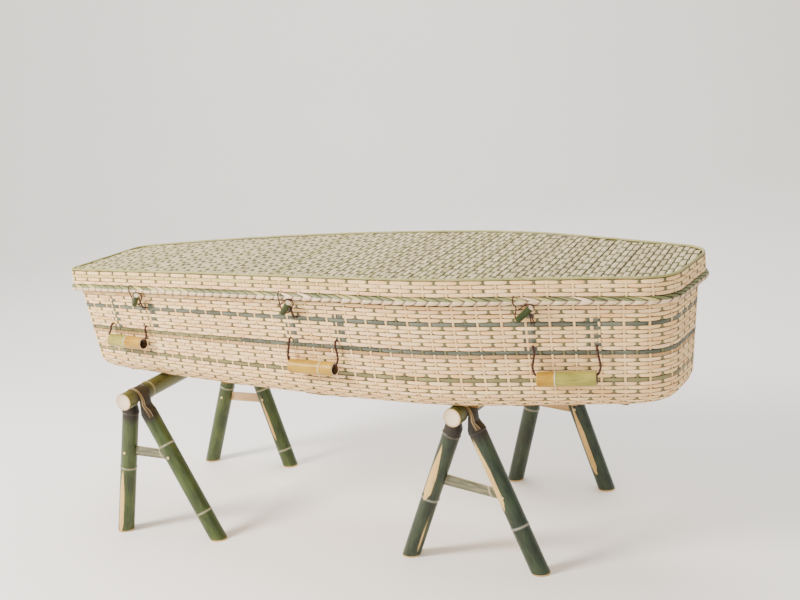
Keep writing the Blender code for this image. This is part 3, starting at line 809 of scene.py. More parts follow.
def lid_core():
    places = np.linspace(0, STAKES, 160, endpoint=False)
    profile = [
        (PANEL_TOP - 0.008, WALL),
        (BRAID_TOP + 2 * GAP, WALL),
        (BRAID_TOP + 2 * GAP, 0.0033),
        (HEIGHT - RIM_CANE - 2 * GAP, 0.0033),
        (HEIGHT - RIM_CANE - 2 * GAP, RIM_CANE + 0.0009),
        (PANEL_TOP - 0.0036, RIM_CANE + 0.0009),
    ]
    rings = [ring(places, z, side) + COFFIN_PLACE for z, side in profile]
    # The lining is coloured dark as painted shade: it shows as dark gaps under the rim and the band.
    return loft("coffin_lid_lining", rings, painted_shade_wood)


lid_lining = lid_core()

# %% [markdown]
# ## The cane and the braid round the lid
# A round cane edges the lid. Below it, the border is a plait: long green strands slant down from
# the seam, and cream ones turn under and cross the other way. Each strand is a patch on a round
# border, with one long edge lifted over its neighbour, as plaited strips lie.


# %% The cane
def rim_cane():
    places = np.linspace(0, STAKES, 360, endpoint=False)
    middle, radius = RIM_CANE / 2, 0.0034
    rings = []
    for angle in 2 * math.pi * spread(12):
        z = HEIGHT - middle + radius * math.sin(angle)
        rings.append(ring(places, z, middle + radius * math.cos(angle)) + COFFIN_PLACE)
    return loft("lid_rim_round_cane", rings, rim_finish, joined=True, uv_scale=4.6 / 360)


cane = rim_cane()
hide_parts("lid_rim_cane")


# %% The braid
BRAID_SIDE, BRAID_MIDDLE = 0.00485, (BRAID_TOP + BRAID_BOTTOM) / 2
BRAID_OUT, BRAID_UP = 0.01085, 0.0115


def braid_point(stake, angle, depth):
    """A point on the round border. angle is 0 outwards and 90 on top, in degrees."""
    a = math.radians(angle)
    side = BRAID_SIDE - (BRAID_OUT - depth) * math.cos(a)
    z = BRAID_MIDDLE + (BRAID_UP - depth) * math.sin(a)
    return ring(stake, z, side) + COFFIN_PLACE


def braid_patch(grids, start, angles, slant, share, slot, tone, wedge):
    """A strand across the border. It starts at a stake and has slanted along by its end."""
    down = np.linspace(0, 1, 9)
    across = np.array((0.0, 0.06, 0.3, 0.6, 0.9, 1.0))
    lifted = np.array((1.0, 0.16, 0.05, 0.25, 0.65, 1.0))
    grid = []
    for v in down:
        width = share * (1 - wedge * (1 - math.sin(math.pi * min(v * 0.8 + 0.15, 1))))
        stake = start + slant * v + across * width
        angle = angles[0] + (angles[1] - angles[0]) * v
        base, deep = braid_point(stake, angle, 0.0), braid_point(stake, angle, 0.0022)
        level = lifted + 0.55 * abs(2 * v - 1) ** 4
        grid.append(base + (deep - base) * level[:, None])
    grids.add(np.array(grid), uv_of(down * 0.05 + chance.uniform(0, 5), across * 2 - 1), slot, tone=tone)


def braid():
    grids = Grids("tone")
    places = np.linspace(0, STAKES, 300, endpoint=False)
    rows = [braid_point(places, angle, 0.0026) for angle in 360 * spread(12)]
    # The round border under the strands is coloured dark as painted shade, seen in the gaps between strands.
    grids.add(np.array([*rows, rows[0]]), (0, 0), 3, wrap=True, tone=0.4)
    for j in range(STAKES):
        colour = int(chance.choice([0, 1, 2], p=[0.58, 0.32, 0.10]))
        tone = 0.5 + 0.45 * chance.uniform(-1, 1)
        braid_patch(grids, j, (104, -2), 1.9, 1.0, colour, tone, 0.45)
        tone = 0.5 + 0.35 * chance.uniform(-1, 1)
        braid_patch(grids, j + 0.55, (14, -104), -0.62, 0.97, 2, tone, 0.0)
    return grids.build("lid_plaited_border", [braid_green, braid_straw, braid_cream, painted_shade_wood])


border = braid()
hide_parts("lid_braided_border")

# %% [markdown]
# ## Round bamboo
# A culm is a tube with a waxy skin, ridged rings at its nodes, and pale wood where it is cut or
# peeled. One finish serves the legs, bars, handles and pegs. The mesh carries where the nodes,
# the burnt bends, the peeled stripes and the cuts are, and the shader draws them crisply.


# %% Culm effects
def node_group():
    """Colour near a node: a pale waxy band below it and a thin brown line on its ridge."""
    inputs = {"Colour": (0.2, 0.3, 0.2, 1), "Near": 0.0, "Wax": (0.5, 0.55, 0.5, 1)}
    inputs |= {"Line": (0.3, 0.22, 0.15, 1), "Amount": 1.0}
    tree, given, out = group("Node rings", inputs, ("Colour", "Ridge"))
    band = step_up(tree, given["Near"], 0.52, 0.70)
    line = step_up(tree, given["Near"], 0.80, 0.90)
    waxed = blend_colour(tree, times(tree, band, given["Amount"]), given["Colour"], given["Wax"])
    return give(tree, out, Colour=blend_colour(tree, line, waxed, given["Line"]), Ridge=line)


def mask_group():
    """A patch with a ragged edge, where a value passes zero."""
    inputs = {"Value": 0.0, "Place": (0, 0, 0), "Ragged": 0.2, "Softness": 0.1}
    tree, given, out = group("Ragged patch", inputs, ("Mask",))
    uneven = noise(tree, stretched(tree, given["Place"], (30, 6, 6)), detail=3.0)
    shake = times(tree, maths(tree, "SUBTRACT", uneven, 0.5), given["Ragged"])
    low = times(tree, given["Softness"], -1.0)
    return give(tree, out, Mask=step_up(tree, plus(tree, given["Value"], shake), low, given["Softness"]))


NODES, PATCH = node_group(), mask_group()
BURNT, PEELED, PEELED_DEEP = (34, 24, 15), (224, 190, 116), (172, 130, 66)


# %% The culm's finish
def culm_material(name, pale, deep, wax, contrast, coat, shine, rough=0.38, line=(150, 132, 108), far=None):
    """far is the skin's colour beyond the node, for the handles, which are two-coloured."""
    made, tree, shader, place = new_finish(name)
    tone = value_of(tree, "tone")

    def patch(name, ragged, softness):
        value = value_of(tree, name)
        return use(tree, PATCH, Value=value, Place=place, Ragged=ragged, Softness=softness)["Mask"]

    def fibres(tone, pale, deep, fineness, contrast):
        colours = {"Pale": pale, "Deep": deep}
        return use(tree, FIBRES, Place=place, Tone=tone, Fineness=fineness, Contrast=contrast, **colours)

    skin = fibres(tone, pale, deep, 1.5, contrast)
    colour = skin["Colour"]
    if far:
        other = fibres(tone, *far, 0.8, contrast)
        colour = blend_colour(tree, patch("far", 0.0, 0.03), colour, other["Colour"])
    chalk = step_up(tree, noise(tree, stretched(tree, place, (5, 14, 14))), 0.58, 0.80, 0.38)
    colour = blend_colour(tree, chalk, colour, rgb(*wax))
    ringed = use(tree, NODES, Colour=colour, Near=value_of(tree, "node"), Wax=wax, Line=line, Amount=0.75)
    wood = fibres(0.6, PEELED, PEELED_DEEP, 2.2, 1.2)
    peel, burn = patch("peel", 0.35, 0.10), patch("burn", 0.5, 0.45)
    colour = blend_colour(tree, peel, ringed["Colour"], wood["Colour"])
    colour = blend_colour(tree, times(tree, burn, 0.93), colour, rgb(*BURNT))
    dull = plus(tree, times(tree, skin["Streaks"], 0.3), rough - 0.12)
    dull = plus(tree, dull, times(tree, maths(tree, "MAXIMUM", peel, burn), 0.22))
    rise = plus(tree, skin["Height"], times(tree, ringed["Ridge"], 0.8))
    numbers = {"Specular_IOR_Level": shine, "Coat_Weight": coat, "Coat_Roughness": 0.35}
    finish_off(tree, shader, colour, dull, rise, 0.3, 0.0008, **numbers)
    return made


def cut_material(name, pale, deep, dark=(120, 85, 55)):
    """The cut end of a culm: pale wood with small dark fibre ends."""
    made, tree, shader, place = new_finish(name, on_object=True)
    clouds = noise(tree, place, 60.0, 4.0)
    specks = put(tree, "ShaderNodeTexVoronoi", {"Vector": place, "Scale": 420.0}).outputs[0]
    dots = maths(tree, "SUBTRACT", 1.0, step_up(tree, specks, 0.10, 0.28))
    # The peel value tints a ring tan: on the bars' ends this is the rim's wood colour, with painted shade on
    # the dish's wall.
    rim = times(tree, value_of(tree, "peel"), 0.7, clamp=True)
    colour = blend_colour(tree, rim, blend_colour(tree, clouds, rgb(*deep), rgb(*pale)), rgb(172, 124, 72))
    colour = blend_colour(tree, times(tree, dots, 0.45), colour, rgb(*dark))
    finish_off(tree, shader, colour, plus(tree, times(tree, clouds, 0.2), 0.55), clouds, 0.25, 0.0005)
    return made


# Pale, deep and waxy colours, then the grain's contrast, the coat and the shine
CULMS = {
    "green_leg_skin": ((52, 66, 40), (16, 26, 14), (92, 108, 98), 2.1, 0.12, 0.35, 0.32),
    "olive_leg_skin": ((72, 86, 34), (28, 40, 14), (100, 112, 76), 2.0, 0.1, 0.35, 0.34),
    "olive_bar_skin": ((100, 100, 46), (46, 54, 22), (128, 128, 80), 1.9, 0.1, 0.35),
    "dark_peg_skin": ((50, 66, 20), (22, 32, 9), (70, 84, 36), 1.6, 0.0, 0.2),
    "weathered_crossbar_skin": ((132, 126, 98), (52, 60, 42), (182, 166, 134), 2.6, 0.0, 0.3),
    "pale_crossbar_wood": ((214, 180, 130), (176, 136, 88), (226, 200, 156), 1.2, 0.0, 0.5),
    "charred_slot": ((30, 22, 16), (18, 13, 10), (40, 30, 22), 0.5, 0.0, 0.5),
}
made = [culm_material(name, *look) for name, look in CULMS.items()]
leg_skin, foot_leg_skin, bar_skin, peg_skin, weathered, pale_split, black_char = made
handle_look = ((184, 170, 80), (116, 112, 46), (170, 168, 112), 1.8, 0.03, 0.22)
amber = ((202, 160, 52), (140, 96, 18))
handle_skin = culm_material("amber_handle_skin", *handle_look, line=(232, 228, 214), far=amber)
cut_end = cut_material("cut_bamboo_end", (240, 222, 194), (222, 194, 156))
dowel_wood = cut_material("dowel_wood", (212, 188, 142), (184, 156, 108))
foot_rim = cut_material("cut_foot_rim", (206, 172, 112), (178, 140, 84))
bore_wood = cut_material("culm_bore", (120, 88, 50), (76, 52, 30), (50, 34, 20))
print("culm finishes:", len(CULMS) + 5)

# %% [markdown]
# ## Cords
# The cords are twisted from two strands. A tube with two lobes turns as it goes along the same
# route as the solid cord, so it has the length and thickness that the record states.


# %% Routes on the coffin
OVERHANG = 0.006


def wall_point(x, z, out, face):
    """A point off the outside at this height. The front face is -1 and the back is 1."""
    setbacks = [-OVERHANG if z < BRAID_TOP else 0.0] * 3
    if z < BRAID_BOTTOM:
        up = min(z, BOTTOM_RADIUS)
        curl = BOTTOM_RADIUS - math.sqrt(BOTTOM_RADIUS**2 - (BOTTOM_RADIUS - up) ** 2)
        setbacks = [SETBACK + slope * (BRAID_BOTTOM - z) + curl for slope in SLOPES]
    plan = front_plan(*setbacks, COARSE)
    k = np.searchsorted(plan[:, 0], x)
    a, b = plan[k - 1], plan[k]
    along = unit(b - a)
    on_wall = a + (b - a) * (x - a[0]) / (b[0] - a[0]) + np.array((along[1], -along[0])) * out
    return Vector((on_wall[0], -face * on_wall[1], z + float(lift(x, z)))) + Vector(COFFIN_PLACE)


def wall_frame(x, z, off_wall, face):
    """A place off the wall, with the ways along it, up and out."""
    along = wall_point(x + 0.01, z, off_wall, face) - wall_point(x - 0.01, z, off_wall, face)
    along.z = 0
    along.normalize()
    up = Vector((0, 0, 1))
    return wall_point(x, z, off_wall, face), along, up, along.cross(up) * -face


def leave_wall(x, z, face):
    tilt = SLOPES[0] if z < BRAID_BOTTOM else 0.0
    return [wall_point(x, z, 0.0016, face), wall_point(x, z - tilt * 0.0034, 0.0050, face)]


def heading(a, b, c):
    before, after = b - a, c - b
    mean = before.normalized() * after.length + after.normalized() * before.length
    return mean / (before.length + after.length)


def smooth_route(route, spacing):
    """Evenly spaced points on a smooth curve through the route."""
    ends = [2 * route[0] - route[1], *route, 2 * route[-1] - route[-2]]
    fine = []
    for a, b, c, d in zip(ends, ends[1:], ends[2:], ends[3:]):
        pull = (c - b).length
        for i in range(16):
            t = i / 16
            fine.append(
                b * (2 * t**3 - 3 * t**2 + 1)
                + heading(a, b, c) * pull * (t**3 - 2 * t**2 + t)
                + c * (3 * t**2 - 2 * t**3)
                + heading(b, c, d) * pull * (t**3 - t**2)
            )
    fine = np.array([*fine, route[-1]])
    at = way_along(fine)
    even = np.linspace(0, at[-1], max(int(at[-1] / spacing), 8) + 1)
    return np.stack([np.interp(even, at, fine[:, k]) for k in range(3)], axis=1), even


def cord_material():
    made, tree, shader, place = new_finish("twisted_brown_cord")
    fuzz = noise(tree, stretched(tree, place, (300, 6, 1)), detail=3.0)
    base = blend_colour(tree, fuzz, rgb(44, 18, 8), rgb(80, 36, 18))
    # Painted shade: the tone value darkens the cord to near black in the grooves between its strands.
    colour = blend_colour(tree, value_of(tree, "tone"), base, rgb(18, 7, 3))
    finish_off(tree, shader, colour, plus(tree, times(tree, fuzz, 0.2), 0.7), fuzz, 0.5, 0.0006)
    return made


cord_finish = cord_material()


def twisted_cord(name, node, route, diameter, twist, lay):
    """A two-strand cord along a route. It returns the cord's length."""
    points, along = smooth_route(route, twist / 9)
    ahead = unit(np.gradient(points, axis=0))
    sideways = [unit(np.cross(ahead[0], (0.3, 0.2, 0.93)))]
    for direction in ahead[1:]:
        sideways.append(unit(sideways[-1] - direction * np.dot(sideways[-1], direction)))
    sideways = np.array(sideways)
    third = np.cross(ahead, sideways)
    angles = 2 * math.pi * spread(12)
    lobes = np.abs(np.cos(angles[None, :] - 2 * math.pi * along[:, None] / twist))
    radius = diameter / 2 * (0.74 + 0.26 * lobes**0.8)
    around = sideways[:, None] * np.cos(angles)[:, None] + third[:, None] * np.sin(angles)[:, None]
    grid = points[:, None] + around * radius[:, :, None]
    # Painted shade in the groove between the two strands, passed to the shader as the tone value.
    groove = np.clip(0.9 - 1.6 * lobes, 0, 1)
    grids = Grids("tone")
    grids.add(grid, uv_of(along, angles / math.pi), wrap=True, caps=True, tone=groove)
    piece = grids.build(name, [cord_finish], 180)
    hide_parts(node)
    length = float(along[-1])
    path = [tuple(point) for point in points[:-2:3]] + [tuple(points[-1])]
    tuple(path[0])
    return length


# %% Handle tubes and their cords
HANDLE_LENGTH, HANDLE_RADIUS, BORE_RADIUS, OFF_WALL = 0.15, 0.0192, 0.0150, 0.0255
HANDLE_CORD, CORD_EXIT, CORD_TWIST = 0.0065, 0.169, 0.017
CULM_VALUES = ("tone", "node", "far", "peel", "burn")

# Where each handle's node is, as a share of the tube, and its amber side. 0 is amber all over.
HANDLE_NODES = {"foot": (0.51, -1), "middle": (0.70, 0), "head": (0.31, 1)}


def turned(name, finishes, profile, sides, matrix, slots, wobble=0.0, **values):
    """A profile of radius and height turned round an axis. values are per profile point."""
    angles = 2 * math.pi * spread(sides)
    radii, heights = np.array(profile, float).T
    radius = radii[:, None] * (1 + wobble * np.sin(angles * 2 + 1)[None, :])
    height = np.broadcast_to(heights[:, None], radius.shape)
    local = np.stack([radius * np.cos(angles), radius * np.sin(angles), height], axis=2)
    given = {key: np.asarray(value, float).reshape(-1, 1) for key, value in values.items()}
    grids = Grids(*CULM_VALUES)
    grids.add(placed(local, matrix), uv_of(heights, angles * radii.max() * 60), slots, wrap=True, **given)
    return grids.build(name, finishes)


def placed(points, matrix):
    return points @ np.array(matrix.to_3x3()).T + np.array(matrix.translation)


def at_place(centre, *axes):
    """The matrix that moves a turned piece to its place, with these ways as its axes."""
    return Matrix.Translation(centre) @ Matrix(axes).transposed().to_4x4()


def handle(place, x, z, face):
    side = "front" if face < 0 else "back"
    centre, along, up, out = wall_frame(x, z, OFF_WALL, face)
    half, chamfer = HANDLE_LENGTH / 2, HANDLE_RADIUS - 0.0012
    share, amber_side = HANDLE_NODES[place]
    node = half - share * HANDLE_LENGTH
    heights = [half - 0.0012, *np.linspace(half - 0.003, node + 0.005, 8), node + 0.0028, node + 0.0012, node]
    heights += [node - 0.0012, node - 0.0028, *np.linspace(node - 0.005, 0.003 - half, 14), 0.0012 - half]
    profile = [(BORE_RADIUS, half), (chamfer, half)]
    profile += [(HANDLE_RADIUS + 0.0009 * max(0, 1 - abs(h - node) / 0.0028), h) for h in heights]
    profile += [(chamfer, -half), (BORE_RADIUS, -half), (BORE_RADIUS, 0.0), (BORE_RADIUS, half)]
    near = [0, 0, *[max(0, 1 - abs(h - node) / 0.0042) for h in heights], 0, 0, 0, 0]
    far = [(h - node) * amber_side / 0.01 if amber_side else 1.0 for _, h in profile]
    slots = [1, *[0] * (len(heights) + 1), 1, 2, 2]
    tube = turned(
        f"handle_tube_{side}_{place}",
        [handle_skin, cut_end, bore_wood],
        profile,
        32,
        at_place(centre, up, out, -along),
        slots,
        0.012,
        tone=chance.uniform(0.35, 0.65),
        node=near,
        far=far,
    )
    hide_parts(f"handle_{side}_{place}")

    rise = CORD_EXIT - z
    wall = SLOPES[0] * rise - OFF_WALL
    rest = BORE_RADIUS - HANDLE_CORD / 2 - 0.002
    hang = [
        (half + 0.004, rise - 0.0060, wall + 0.0095),
        (half + 0.008, 0.60 * rise, 0.45 * wall + 0.0010),
        (half + 0.010, 0.25 * rise + 0.75 * rest, 0.20 * wall),
        (half + 0.002, rest + 0.001, 0.0),
        (half - 0.014, rest, 0.0),
    ]
    strands = []
    for sign in (-1, 1):
        strands.append(leave_wall(x + sign * (half + 0.003), CORD_EXIT, face))
        strands[-1] += [centre + along * (sign * u) + up * v + out * w for u, v, w in hang]
    route = [*strands[0], centre + up * (rest - 0.0005), *strands[1][::-1]]
    name = f"handle_twisted_cord_{side}_{place}"
    return twisted_cord(name, f"handle_cord_{side}_{place}", route, HANDLE_CORD, CORD_TWIST, "hanging")


lengths = []
for face in (-1, 1):
    for place, (share, height) in HANDLES.items():
        lengths.append(handle(place, share * LENGTH, height, face))
print("handle cords:", [round(v, 3) for v in lengths])

# %% Toggles
TOGGLES = {"foot": -0.3374, "middle": -0.0344, "head": 0.3159}
PEG_LENGTH, PEG_RADIUS, PEG_OFF_WALL, TOGGLE_HEIGHT = 0.058, 0.0082, 0.0245, 0.2565
TOGGLE_CORD, TIE_EXIT, TOGGLE_TWIST = 0.0035, 0.228, 0.0095


# Points beside the peg: along it, across it and behind it
ROUND_PEG = [
    (-0.014, 0.0190, 0.001),
    (-0.026, 0.0130, 0.003),
    (-0.0355, 0.0005, 0.007),
    (-0.0295, -0.0060, 0.0135),
    (-0.0100, -0.0070, 0.0155),
    (0.0100, -0.0075, 0.0150),
    (0.0230, -0.0070, 0.0140),
    (0.0285, 0.0020, 0.0135),
    (0.0235, 0.0115, 0.0090),
    (0.0120, 0.0160, 0.0050),
    (0.0000, 0.0170, 0.002),
    (-0.0075, 0.0190, 0.0005),
]
BEHIND_PEG = [
    (0.0090, -0.0125, 0.0065),
    (0.0085, -0.0050, 0.0100),
    (0.0070, 0.0010, 0.0112),
    (0.0050, -0.0050, 0.0102),
    (0.0030, -0.0125, 0.0075),
]


def toggle(place, x, face):
    side = "front" if face < 0 else "back"
    centre, along, up, out = wall_frame(x, TOGGLE_HEIGHT, PEG_OFF_WALL, face)
    axis = (along * 0.040 + up * 0.036 + out * 0.020).normalized()
    across = (up * 0.040 - along * 0.036).normalized()
    third = axis.cross(across)
    half, chamfer = PEG_LENGTH / 2, PEG_RADIUS - 0.0008
    ends = [(0, half), (PEG_RADIUS * 0.55, half), (chamfer, half)]
    profile = ends + [(PEG_RADIUS, h) for h in np.linspace(half - 0.0008, 0.0008 - half, 12)]
    profile += [(radius, -half) for radius, _ in ends[::-1]]
    slots = [1, 1, *[0] * 13, 1, 1]
    peg = turned(
        f"toggle_culm_{side}_{place}",
        [peg_skin, cut_end],
        profile,
        24,
        at_place(centre, across, third, axis),
        slots,
        0.02,
        tone=chance.uniform(0.3, 0.7),
    )
    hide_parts(f"toggle_peg_{side}_{place}")
    behind = third.normalized() * (-1 if third.dot(out) > 0 else 1)

    def from_peg(points):
        return [centre + axis * u + across * v + behind * w for u, v, w in points]

    over = TOGGLE_CORD / 2 + 0.0024
    fall = [
        (BRAID_TOP - 0.0030, over),
        (BRAID_TOP - 0.0130, over + 0.0004),
        (BRAID_BOTTOM - 0.0010, PEG_OFF_WALL - 0.0010),
    ]
    loop = leave_wall(x - 0.019, BRAID_TOP + TOGGLE_CORD / 2 + 2 * GAP, face)
    loop += [wall_point(x - 0.019, z, away, face) for z, away in fall] + from_peg(ROUND_PEG)
    tie = leave_wall(x + 0.0175, TIE_EXIT, face) + from_peg(BEHIND_PEG)
    tie += leave_wall(x + 0.0105, TIE_EXIT, face)[::-1]
    made = []
    for kind, route, lay in (("loop", loop, "hanging"), ("tie", tie, "taut")):
        name, node = f"toggle_twisted_{kind}_{side}_{place}", f"toggle_{kind}_{side}_{place}"
        made.append(twisted_cord(name, node, route, TOGGLE_CORD, TOGGLE_TWIST, lay))
    return made


lengths = [toggle(place, share * LENGTH, face) for face in (-1, 1) for place, share in TOGGLES.items()]
print("toggle loops and ties:", [[round(v, 3) for v in pair] for pair in lengths])

# %% [markdown]
# ## Trestles
# Each frame is one culm. Its middle is cut away to a strap, heated and bent over the bar, so both
# legs hang from it. Heat leaves a burn that fades below the bend. Stripes where the skin was
# shaved, node rings, and the split front edge of the strap come from the photograph.

# %% The frames
BAR_LENGTH, BAR_RADIUS, BAR_DISH, LEG_RADIUS, STRAP = 0.74, 0.026, 0.004, 0.025, 0.005
FRAME_OUT, LEG_TOP_OUT, LEG_TOP_DROP = 0.30, 0.030, 0.042
BAR_Z = STAND_HEIGHT - GAP - BAR_RADIUS
NODE_RIDGE = 0.0018

# Feet, crossbar heights, node heights, then shaved stripes as leg, side, top, bottom and width
FRAMES = {
    ("foot", "front"): (
        (-0.120, 0.224),
        (0.268, 0.262),
        ((0.215, 0.395), (0.085, 0.296)),
        [(0, -80, 0.215, 0.0, 0.009)],
    ),
    ("foot", "back"): (
        (-0.180, 0.140),
        (0.246, 0.244),
        ((0.280,), (0.060, 0.276)),
        [(1, 100, 0.28, 0.10, 0.005)],
    ),
    ("head", "front"): (
        (-0.210, 0.190),
        (0.240, 0.216),
        ((0.185, 0.378), (0.130, 0.392)),
        [(0, -75, 0.345, 0.187, 0.013), (1, -116, 0.385, 0.190, 0.012), (0, -140, 0.17, 0.02, 0.003)],
    ),
    ("head", "back"): (
        (-0.155, 0.155),
        (0.272, 0.260),
        ((0.249,), (0.292,)),
        [(1, 100, 0.28, 0.06, 0.009)],
    ),
}
# Place along the length as a share of it, place across, turn, and the nodes of the bar
TRESTLES = {"foot": (-0.3615, -0.05, 5.0, (-0.245, 0.205)), "head": (0.195, 0.05, 0.0, (0.170,))}

# How the strap swells from the bar's top to the legs, as degrees and height over the bar
SADDLE = [(0, 0.0), (15, 0.0), (30, 0.0), (45, 0.0004), (60, 0.0010), (75, 0.0030), (90, 0.0060)]
SADDLE += [(101, 0.0098), (112, 0.0140), (120, 0.0184), (128, 0.0230)]


def leg_line(reach):
    sign = math.copysign(1, reach)
    return np.array((sign * LEG_TOP_OUT, BAR_Z - LEG_TOP_DROP)), np.array((reach, 0.0))


def leg_stations(reach, nodes):
    """From the bend down: inner point, outer point, half width, height, nearness to a node."""
    top, foot = leg_line(reach)
    sign = math.copysign(1, reach)
    length = np.linalg.norm(foot - top)
    axis = (foot - top) / length
    outward_way = np.array((-axis[1], axis[0])) * sign
    node_marks = [length * (1 - height / top[1]) for height in nodes]
    marks = list(np.linspace(0.02 * length, length - 0.030, 22))
    for at in node_marks:
        marks = [m for m in marks if abs(m - at) > 0.009]
        marks += [at + off for off in (-0.008, -0.0035, -0.0015, 0.0, 0.0015, 0.0035, 0.008)]
    stations = []
    for at in sorted(marks):
        centre = top + axis * at
        gap = min(abs(at - mark) for mark in node_marks)
        radius = LEG_RADIUS + NODE_RIDGE * max(0, 1 - gap / 0.0035)
        out = outward_way * radius
        stations.append((centre - out, centre + out, radius, centre[1], max(0, 1 - gap / 0.011)))
    flat = np.array((LEG_RADIUS / abs(axis[1]) * sign, 0))
    rise = foot + np.array(((top[0] - foot[0]) / top[1], 1)) * 0.0045
    stations.append((rise - flat, rise + flat, LEG_RADIUS, 0.0045, 0.0))
    stations.append((foot - flat * 0.985, foot + flat * 0.985, LEG_RADIUS * 0.985, 0.0, 0.0))
    return stations


def saddle_stations(sign):
    stations = []
    for degrees, more in SADDLE:
        angle = math.radians(degrees)
        ray = np.array((sign * math.sin(angle), math.cos(angle)))
        centre = np.array((0, BAR_Z))
        inner, outer = centre + ray * (BAR_RADIUS - STRAP), centre + ray * (BAR_RADIUS + more)
        stations.append((inner, outer, LEG_RADIUS, None, 0.0))
    return stations


def shaved(angles, height, leg, stripes, face):
    """How deep inside a shaved stripe each point of a ring lies, from -1 to 1."""
    patch = np.full(len(angles), -1.0)
    for which, side, top, bottom, width in stripes:
        if leg != which or height is None or not bottom - 0.03 < height < top + 0.03:
            continue
        off = np.abs((angles - math.radians(side * -face) + math.pi) % (2 * math.pi) - math.pi) * LEG_RADIUS
        taper = min((top - height) / 0.10 + 0.15, (height - bottom) / 0.03 + 0.4, 1.0)
        patch = np.maximum(patch, (width * taper - off) / 0.006)
    return np.clip(patch, -1, 1)


def bent_legs(place, side, face, matrix):
    """One piece from the left foot over the bar to the right foot, and the strips split off its strap."""
    feet, _, nodes, stripes = FRAMES[(place, side)]
    left, right = leg_stations(feet[0], nodes[0]), leg_stations(feet[1], nodes[1])
    over_bar = saddle_stations(-1)[::-1] + saddle_stations(1)[1:]
    stations = [(s, 0) for s in left[::-1]] + [(s, None) for s in over_bar] + [(s, 1) for s in right]
    angles = 2 * math.pi * spread(30)
    grid, near, burn, peel = [], [], [], []
    for (inner, outer, half, height, node), leg in stations:
        middle, reach = (inner + outer) / 2, (outer - inner) / 2
        section = middle[None, :] + reach[None, :] * np.cos(angles)[:, None]
        y = face * FRAME_OUT + half * np.sin(angles)
        grid.append(np.stack([section[:, 0], y, section[:, 1]], axis=1))
        near.append([node])
        burn.append([1.0 if height is None else (height - 0.372) / 0.030])
        peel.append(shaved(angles, height, leg, stripes, face))
    grid = np.array(grid)
    uv = uv_of(way_along(grid.mean(axis=1)), angles * LEG_RADIUS * 60)
    slots = [1, *[0] * (len(stations) - 3), 1]
    given = {"tone": chance.uniform(0.4, 0.6), "node": near, "burn": burn, "peel": peel}
    grids = Grids(*CULM_VALUES)
    grids.add(placed(grid, matrix), uv, slots, wrap=True, caps=True, **given)
    finish = leg_skin if place == "head" else foot_leg_skin
    legs = grids.build(f"{place}_{side}_bent_legs", [finish, foot_rim])
    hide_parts(f"{place}_trestle_{side}_legs")
    start, stop = len(left) + len(over_bar) // 2 - 5, len(left) + len(over_bar) + 2
    split_strips(f"{place}_{side}_split_strap", grid, start, stop, face, matrix)


# Degrees round the leg, cream or charred, half width, and lift off the strap
SPLITS = ((50, 1, 0.0034, 0.0005), (39, 0, 0.0013, 0.0012), (61, 0, 0.0013, 0.0012), (69, 1, 0.0022, 0.0006))


def split_strips(name, grid, start, stop, face, matrix):
    """Thin cream strips and charred gaps along the strap's outer edge, raised a little."""
    strips = Grids("tone")
    turn = np.array(matrix.to_3x3()).T
    count = grid.shape[1]
    middle = grid.mean(axis=1)
    for degrees, slot, half, raised in SPLITS:
        at = (degrees * face % 360) / 360 * count
        low, share = int(at) % count, at - int(at)
        line = grid[start:stop, low] * (1 - share) + grid[start:stop, (low + 1) % count] * share
        away = unit((line - middle[start:stop]) * (1, 0.6, 1))
        ahead = unit(np.gradient(line, axis=0))
        across = unit(np.cross(ahead, away))
        away = np.cross(across, ahead)
        taper = np.interp(np.linspace(0, 1, len(line)), [0, 0.15, 0.8, 1], [0.3, 1, 1, 0.25])
        line = placed(line + away * raised, matrix)
        add_strip(strips, line, across @ turn, away @ turn, half * taper, 0.0016, 0.6, slot)
    piece = strips.build(name, [strap_edge, black_char], 60)


def crossbar(place, side, face, matrix):
    """Half-round split culm between the legs: its skin outwards, pale and hollow behind."""
    feet, heights, _, _ = FRAMES[(place, side)]
    has_skin = side == "front"
    shares = np.linspace(-1, 1, 11)
    bulge = 0.004 * (1 - shares**2)
    shares = np.concatenate([shares, shares[::-1]])
    depths = np.concatenate([bulge, bulge[::-1] - 0.005])
    stations = np.linspace(0, 1, 17)
    ridge = 0.0012 * np.clip(1 - np.abs(stations - 0.87) / 0.03, 0, 1) * has_skin
    ends = []
    for reach, height in zip(feet, heights):
        top, foot = leg_line(reach)
        z = height + shares * 0.015
        slope = abs(foot - top)[1] / np.linalg.norm(foot - top)
        x = foot[0] + (top[0] - foot[0]) * z / top[1] - math.copysign(LEG_RADIUS / slope + 2 * GAP, reach)
        ends.append(np.stack([x, z], axis=1))
    plan = ends[0] + (ends[1] - ends[0]) * stations[:, None, None]
    y = face * (FRAME_OUT + depths + ridge[:, None] * (depths >= 0))
    grid = np.stack([plan[:, :, 0], y, plan[:, :, 1]], axis=2)
    along = stations * np.linalg.norm(grid[-1, 5] - grid[0, 5])
    near = np.clip(1 - np.abs(stations - 0.87) / 0.035, 0, 1)[:, None] * has_skin
    closed = np.concatenate([grid, grid[:, :1]], axis=1)
    shares = np.concatenate([shares, shares[-1:]])
    slots = np.array([[0] * 10 + [1] * 12])
    grids = Grids(*CULM_VALUES)
    uv = uv_of(along, shares * 3.0)
    grids.add(placed(closed, matrix), uv, slots, caps=True, cap_slot=1, tone=0.5, node=near)
    piece = grids.build(f"{place}_{side}_split_crossbar", [weathered if has_skin else pale_split, pale_split])
    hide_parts(f"{place}_trestle_{side}_crossbar")


